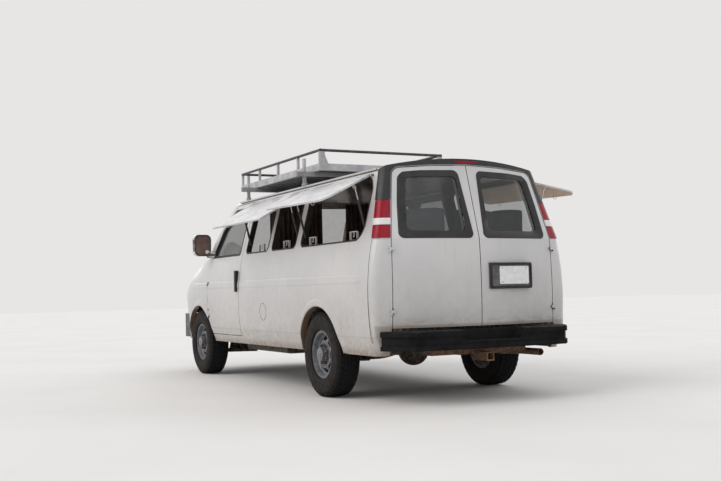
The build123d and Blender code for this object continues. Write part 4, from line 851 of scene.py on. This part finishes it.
# Tyres with their tread
TYRE_HALF_W = 0.1225
TREAD_HALF_W = 0.0865
TREAD_ROWS = 22
PITCHES, PITCH_STEPS = 44, 6
GROOVES = (4, 9, 13, 18)
WALL = [
    (-0.0887, 0.204), (-0.0887, 0.2235), (-TYRE_HALF_W + 0.014, 0.226), (-TYRE_HALF_W + 0.003, 0.250),
    (-TYRE_HALF_W + 0.001, 0.275), (-TYRE_HALF_W, 0.305), (-TYRE_HALF_W + 0.003, 0.330),
    (-TYRE_HALF_W + 0.009, 0.350), (-TYRE_HALF_W + 0.011, 0.351), (-TYRE_HALF_W + 0.018, 0.3665),
    (-TYRE_HALF_W + 0.024, 0.378), (-TYRE_HALF_W + 0.030, 0.3835),
]


def tyre(name, hand, axle, track, body):
    """Turned from bead to bead, with grooves round it and cuts across its blocks and shoulders."""
    profile = list(WALL)
    for k in range(TREAD_ROWS + 1):
        x = -TREAD_HALF_W + 0.173 * k / TREAD_ROWS
        profile.append((x, 0.3868 - 0.0035 * (abs(x) / TREAD_HALF_W) ** 3))
    profile += [(-x, r) for x, r in WALL[::-1]]
    wall, rows = len(WALL), len(profile)

    def cut(i, j, x, r):
        phase = j % PITCH_STEPS
        k = i - wall
        if wall <= i < rows - wall:
            if k in GROOVES:
                r -= 0.009
            elif k < GROOVES[0] or k > GROOVES[-1]:
                r -= 0.009 if phase == 0 else 0
            elif k < GROOVES[1]:
                r -= 0.007 if phase == 4 or (k == 6 and phase == 2) else 0
            elif k > GROOVES[2]:
                r -= 0.007 if phase == 2 else 0
            elif (j + k) % 12 == 0:
                r -= 0.006
        elif (8 <= i < wall or rows - wall <= i < rows - 8) and phase == 0:
            r -= 0.007
        return x, r

    verts, faces = lathe(profile, (hand * track, axle, TYRE_R), hand, PITCHES * PITCH_STEPS, cut)
    piece = new_piece(name, verts, faces, "tyre", body)
    piece.data.set_sharp_from_angle(angle=radians(30))
    return piece


NUTS, NUT_CIRCLE_R = 8, 0.083
NUT = (
    (0.0665, 0.0), (0.0665, 0.016), (0.074, 0.016), (0.076, 0.0125), (0.094, 0.0125), (0.098, 0.009),
    (0.098, 0.0),
)
HUB_CAP = ((-0.004, 0.059), (0.002, 0.0595), (0.006, 0.054), (0.007, 0.034), (0.011, 0.031), (0.0115, 0.0))


def wheel_parts(name, hand, axle, track, body):
    centre = Vector((hand * track, axle, TYRE_R))
    nuts = []
    for k in range(NUTS):
        a = 2 * pi * (k + 0.5) / NUTS
        c = (centre.x, axle + NUT_CIRCLE_R * sin(a), TYRE_R + NUT_CIRCLE_R * cos(a))
        nuts.append(lathe(NUT, c, hand, 6))
    join_parts(f"lug_nuts_{name}", nuts, "under", body, smooth=False)
    cap = [(HUB_FACE + x, r) for x, r in HUB_CAP]
    join_parts(f"hub_cap_{name}", [lathe(cap, centre, hand, 32)], "hub", body)


for name, hand, axle, track in (
    ("front_left", 1, AXLES[0], FRONT_TRACK_HALF), ("front_right", -1, AXLES[0], FRONT_TRACK_HALF),
    ("rear_left", 1, AXLES[1], REAR_TRACK_HALF), ("rear_right", -1, AXLES[1], REAR_TRACK_HALF),
):
    skin = tyre(f"tread_{name}", hand, axle, track, f"wheel_{name}")
    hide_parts(f"tyre_{name}")
    wheel_parts(name, hand, axle, track, f"wheel_{name}")

# Mirrors with their arms, and the front doors' handles
MIRROR_FACE_Y = -1.575
MIRROR_X, MIRROR_Z = 1.075, 1.536
SPOT_X, SPOT_Z, SPOT_SIDES = 1.020, 1.458, 24
MIRROR_SHELL = ((-0.0005, 0.99), (-0.030, 1.008), (-0.062, 0.985), (-0.080, 0.90), (-0.090, 0.72))
MIRROR_RIM = ((0, -0.06), (0, 0.006), (0.5, 0.012), (1, 0.008), (1, 0.001))
MIRROR_ARM = ((0.915, -1.562, 1.420), (0.96, -1.586, 1.424), (1.01, -1.606, 1.430))
HANDLE_LOW, HANDLE_HIGH = (0.984, -0.672, 0.978), (1.0255, -0.630, 1.212)


def mirror_point(x, z, out, hand):
    return Vector((hand * x, MIRROR_FACE_Y + out, z))


def sided_slab(low, high, hand):
    """A slab given for the left side, on either side."""
    near, far = sorted((hand * low[0], hand * high[0]))
    return slab((near, *low[1:]), (far, *high[1:]))


for hand, side in SIDES:
    door = f"door_{side}"
    outer = rounded(((0.976, 1.410), (1.170, 1.410), (1.180, 1.662), (0.970, 1.662)), 0.055, 6, 0.04)
    inner = rounded(((0.990, 1.424), (1.157, 1.424), (1.166, 1.648), (0.984, 1.648)), 0.045, 6, 0.04)
    trimmed_ring(f"mirror_rim_{side}", outer, inner, mirror_point, MIRROR_RIM, "black", door, hand)
    verts = [mirror_point(p[0], p[1], 0.003, hand) for p in inner]
    new_piece(f"mirror_glass_painted_reflection_{side}", verts, [tuple(range(len(verts)))], "mirror", door, False)
    spot = [
        mirror_point(SPOT_X + r * cos(a), SPOT_Z + r * sin(a), out, hand)
        for r, out in ((0.021, 0.006), (0.024, 0.0025))
        for a in np.linspace(0, 2 * pi, SPOT_SIDES + 1)[:-1]
    ]
    new_piece(f"mirror_spot_{side}", spot, disc_faces(SPOT_SIDES, True), "clear", door)
    n, last = len(outer), len(MIRROR_SHELL) - 1
    verts, faces = [], []
    for depth, share in MIRROR_SHELL:
        for p in outer:
            x, z = MIRROR_X + (p[0] - MIRROR_X) * share, MIRROR_Z + (p[1] - MIRROR_Z) * share
            verts.append(mirror_point(x, z, depth, hand))
    for row in range(last):
        for k in range(n):
            a, b = row * n + k, row * n + (k + 1) % n
            faces.append((a, b, b + n, a + n))
    faces.append(tuple(range(last * n, (last + 1) * n)))
    faces.append(tuple(range(n))[::-1])
    arm = tube([(hand * x, y, z) for x, y, z in MIRROR_ARM], 0.040, 12)
    join_parts(f"mirror_shell_{side}", [(verts, faces), arm], "shell", door)
    join_parts(f"door_handle_{side}", [sided_slab(HANDLE_LOW, HANDLE_HIGH, hand)], "trim", door, 0.008)


# Latch frames on the sills, and wire loops under the flaps
LATCH_W, LATCH_DEPTH, LATCH_H, LATCH_T = 0.140, 0.020, 0.080, 0.007


def latch(name, y, hand):
    x = half(SILL + 0.05) - 0.052
    low_z = SILL + 0.0015
    parts = []
    for a, b in (
        ((0, 0), (LATCH_W, LATCH_T)),
        ((0, LATCH_H - LATCH_T), (LATCH_W, LATCH_H)),
        ((0, LATCH_T), (LATCH_T, LATCH_H - LATCH_T)),
        ((LATCH_W - LATCH_T, LATCH_T), (LATCH_W, LATCH_H - LATCH_T)),
    ):
        low, high = (x, y + a[0], low_z + a[1]), (x + LATCH_DEPTH, y + b[0], low_z + b[1])
        parts.append(sided_slab(low, high, hand))
    middle = y + LATCH_W / 2
    inner, outer = hand * (x + 0.010), hand * (x + LATCH_DEPTH - 0.004)
    parts.append(tube([(inner, middle, low_z + 0.035), (outer, middle, low_z + 0.035)], 0.008, 8))
    parts.append(tube([(inner, middle, low_z + 0.032), (inner, middle, low_z + 0.075)], 0.005, 8))
    join_parts(name, parts, "white", "body", 0.0012)


for index, (y, hand) in enumerate(((-0.22, 1), (0.45, 1), (1.09, 1), (1.95, 1), (1.09, -1), (1.95, -1))):
    latch(f"latch_{index}", y, hand)

LOOP_BELOW, LOOP_HALF_L, LOOP_HALF_H = 0.024, 0.018, 0.017


def loop(name, flap, hand, y, along, droop):
    """A wire loop under a flap, along metres from its hinge."""
    c, s = cos(radians(droop)), sin(radians(droop))
    points = []
    for a in np.linspace(0, 2 * pi, 17)[:-1]:
        u, v = along + LOOP_HALF_L * cos(a), LOOP_BELOW + LOOP_HALF_H * sin(a)
        points.append((hand * (FLAP_HINGE_X + u * c - v * s), y, FLAP_HINGE_Z - u * s - v * c))
    join_parts(name, [tube(points, 0.0028, 6, True)], "steel", f"flap_{flap}")


for index, row in enumerate((
    ("left_front", 1, -0.15, 0.520, 30), ("left_front", 1, 0.52, 0.520, 30),
    ("left_rear", 1, 1.17, 0.485, 24), ("left_rear", 1, 2.03, 0.520, 24),
    ("right_rear", -1, 1.17, 0.455, 12), ("right_rear", -1, 2.03, 0.500, 12),
)):
    loop(f"flap_loop_{index}", *row)


# Soft pads: a gridded box, slightly small, that cloth pressure swells up to its CAD solid
def grid_box(low, high, cell, shape=None):
    """A box whose faces are divided into cells; shape may move its points."""
    size = [high[k] - low[k] for k in range(3)]
    counts = [max(2, round(size[k] / cell)) for k in range(3)]
    index, verts, faces = {}, [], []

    def vert(i, j, k):
        key = (i, j, k)
        if key not in index:
            index[key] = len(verts)
            u = [n / c for n, c in zip(key, counts)]
            point = Vector([low[a] + size[a] * u[a] for a in range(3)])
            verts.append(Vector(shape(point)) if shape else point)
        return index[key]

    for a, b, c in ((0, 1, 2), (1, 2, 0), (2, 0, 1)):
        for end in (0, counts[a]):
            for m in range(counts[b]):
                for n in range(counts[c]):
                    face = []
                    for dm, dn in ((0, 0), (1, 0), (1, 1), (0, 1)):
                        key = [0, 0, 0]
                        key[a], key[b], key[c] = end, m + dm, n + dn
                        face.append(vert(*key))
                    faces.append(tuple(face if end else face[::-1]))
    return verts, faces


CLOTH_FRAMES = 20
pads = []


def pad(name, low, high, cell, cap, kind, fill=0.7, margin=0.008, shape=None):
    """A soft piece that swells by cap at most and keeps its underside where it rests."""
    small_low = [v + margin for v in low]
    small_high = [v - margin for v in high]
    small_low[2] = low[2] + 0.0005
    verts, faces = grid_box(small_low, small_high, cell, shape)
    piece = new_piece(name, verts, faces, kind, "body")
    cloth = piece.modifiers.new("cloth", "CLOTH")
    cloth.settings.quality = 5
    cloth.settings.mass = 0.3
    cloth.settings.tension_stiffness = 12
    cloth.settings.compression_stiffness = 12
    cloth.settings.bending_stiffness = 2.0
    cloth.settings.use_pressure = True
    cloth.settings.uniform_pressure_force = 4
    cloth.settings.effector_weights.gravity = 0
    cloth.collision_settings.use_collision = False
    pads.append((piece, cap, low[2], fill))
    return piece


def lean(point):
    return (point.x, point.y + (point.z - 0.95) * 0.17, point.z)


SEAT_X = 0.47
for side, x in (("left", SEAT_X), ("right", -SEAT_X)):
    for part, half_w, (low_y, high_y), (low_z, high_z), cell, cap, shape in (
        ("seat_cushion", 0.255, (-1.110, -0.560), (0.850, 0.980), 0.028, 0.014, None),
        ("seat_back", 0.222, (-0.640, -0.508), (0.952, 1.478), 0.028, 0.014, lean),
        ("head_rest", 0.130, (-0.633, -0.548), (1.482, 1.678), 0.020, 0.010, lean),
    ):
        low, high = (x - half_w, low_y, low_z), (x + half_w, high_y, high_z)
        pad(f"{part}_{side}", low, high, cell, cap, "cloth", shape=shape)
mattress = pad("mattress_pad", (-0.860, 0.950, 1.1803), (0.860, 2.440, 1.330), 0.045, 0.014, "bedding", 0.8)
for index, (x, y) in enumerate(((0.46, 2.25), (-0.40, 2.22))):
    low, high = (x - 0.36, y - 0.12, 1.333), (x + 0.36, y + 0.10, 1.700)
    pad(f"pillow_{index}", low, high, 0.030, 0.040, "pillow", 0.5, 0.03)
for frame_number in range(1, CLOTH_FRAMES + 1):
    scene.frame_set(frame_number)
graph = bpy.context.evaluated_depsgraph_get()
swollen = []
for piece, *_ in pads:
    swollen.append([v.co.copy() for v in piece.evaluated_get(graph).data.vertices])
for (piece, cap, floor_z, _), points in zip(pads, swollen):
    piece.modifiers.remove(piece.modifiers["cloth"])
    for v, p in zip(piece.data.vertices, points):
        move = p - v.co
        if move.length > cap:
            move *= cap / move.length
        v.co = v.co + move
        v.co.z = max(v.co.z, floor_z)
scene.frame_set(1)
for piece, *_, fill in pads:
    for p in piece.data.polygons:
        p.use_smooth = True
    more = piece.modifiers.new("smooth", "SUBSURF")
    more.levels = more.render_levels = 1
bases = []
for x in (SEAT_X, -SEAT_X):
    bases.append(slab((x - 0.23, -1.08, 0.6406), (x + 0.23, -0.58, 0.8495)))
    bases.append(slab((x - 0.235, -1.085, 0.835), (x + 0.235, -0.575, 0.8492)))
base = join_parts("seat_bases", bases, "grey", "body", 0.008)
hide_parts("seats")
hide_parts("mattress")

# Curtains behind the front seats, on a rod between the walls
CURTAIN_Y, ROD_Z, HEM_Z = -0.350, 1.948, 0.99
CURTAIN_TOP_Z = ROD_Z - 0.004
reach = side_tree.ray_cast(Vector((0.3, CURTAIN_Y, ROD_Z)), Vector((1, 0, 0)))[0].x


def curtain(name, start, end, folds):
    """Folds that open a little towards the hem. Returns the piece and the width of cloth in it."""
    across, down = folds * 12, 24
    outer = []
    for row in range(down + 1):
        t = row / down
        z = CURTAIN_TOP_Z + (HEM_Z - CURTAIN_TOP_Z) * t
        for k in range(across + 1):
            u = k / across
            swing = 2 * pi * folds * u
            depth = 0.014 + 0.006 * t
            y = CURTAIN_Y + depth * sin(swing) + 0.003 * sin(1.7 * swing + 4 * t)
            outer.append(Vector((start + (end - start) * u, y, z)))
    width = sum((outer[k + 1] - outer[k]).length for k in range(across))
    piece = new_piece(name, outer, sheet_faces(down, across + 1), "curtain", "body")
    thick = piece.modifiers.new("thick", "SOLIDIFY")
    thick.thickness = 0.0016
    thick.offset = 0
    return piece, width


rod_parts = [tube([(-reach + 0.001, CURTAIN_Y, ROD_Z), (reach - 0.001, CURTAIN_Y, ROD_Z)], 0.008, 12)]
for hand in (1, -1):
    ends = [(hand * (reach - inset), CURTAIN_Y, ROD_Z) for inset in (0.012, 0.0005)]
    rod_parts.append(tube(ends, 0.022, 16))
join_parts("curtain_rod", rod_parts, "steel", "body")
for name, start, end, folds in (
    ("curtain_left", 0.085, reach - 0.03, 11),
    ("curtain_right", -0.210, -reach + 0.03, 9),
):
    cloth, width = curtain(name, start, end, folds)


# Floor, world and lights
def stage():
    """A pale floor, a pale sky for the camera, glass and gloss, and four broad suns."""
    bpy.ops.mesh.primitive_plane_add(size=120, location=(0, 0, 0))
    floor = bpy.context.object
    floor.name = "floor"
    s = Shade("floor_pale")
    color = s.cloud((0.69, 0.685, 0.68), (0.72, 0.715, 0.71), 0.6, 3)
    floor.data.materials.append(s.finish(color, 0.95))
    world = bpy.data.worlds.new("sky")
    scene.world = world
    world.use_nodes = True
    tree = world.node_tree
    tree.nodes.clear()
    out = tree.nodes.new("ShaderNodeOutputWorld")
    light = tree.nodes.new("ShaderNodeBackground")
    light.inputs["Color"].default_value = (1.0, 0.97, 0.95, 1)
    light.inputs["Strength"].default_value = 0.50
    seen = tree.nodes.new("ShaderNodeBackground")
    seen.inputs["Color"].default_value = (0.80, 0.79, 0.78, 1)
    seen.inputs["Strength"].default_value = 1.0
    path = tree.nodes.new("ShaderNodeLightPath")
    share = path.outputs["Is Camera Ray"]
    for other in ("Is Transmission Ray", "Is Glossy Ray"):
        larger = tree.nodes.new("ShaderNodeMath")
        larger.operation = "MAXIMUM"
        tree.links.new(share, larger.inputs[0])
        tree.links.new(path.outputs[other], larger.inputs[1])
        share = larger.outputs[0]
    mix = tree.nodes.new("ShaderNodeMixShader")
    tree.links.new(share, mix.inputs[0])
    tree.links.new(light.outputs[0], mix.inputs[1])
    tree.links.new(seen.outputs[0], mix.inputs[2])
    tree.links.new(mix.outputs[0], out.inputs[0])
    for name, toward, angle, strength in (
        ("key", (-0.80, 0.05, -0.62), 50, 1.55),
        ("back", (-0.10, -0.85, -0.55), 60, 0.55),
        ("nose", (0.15, 0.80, -0.60), 60, 0.7),
        ("far_side", (0.85, 0.05, -0.60), 60, 0.6),
    ):
        data = bpy.data.lights.new(name, "SUN")
        data.angle = radians(angle)
        data.energy = strength
        data.color = (1.0, 0.97, 0.94) if name == "key" else (0.97, 0.98, 1.0)
        lamp = bpy.data.objects.new(name, data)
        scene.collection.objects.link(lamp)
        lamp.rotation_euler = Vector(toward).to_track_quat("-Z", "Y").to_euler()


stage()
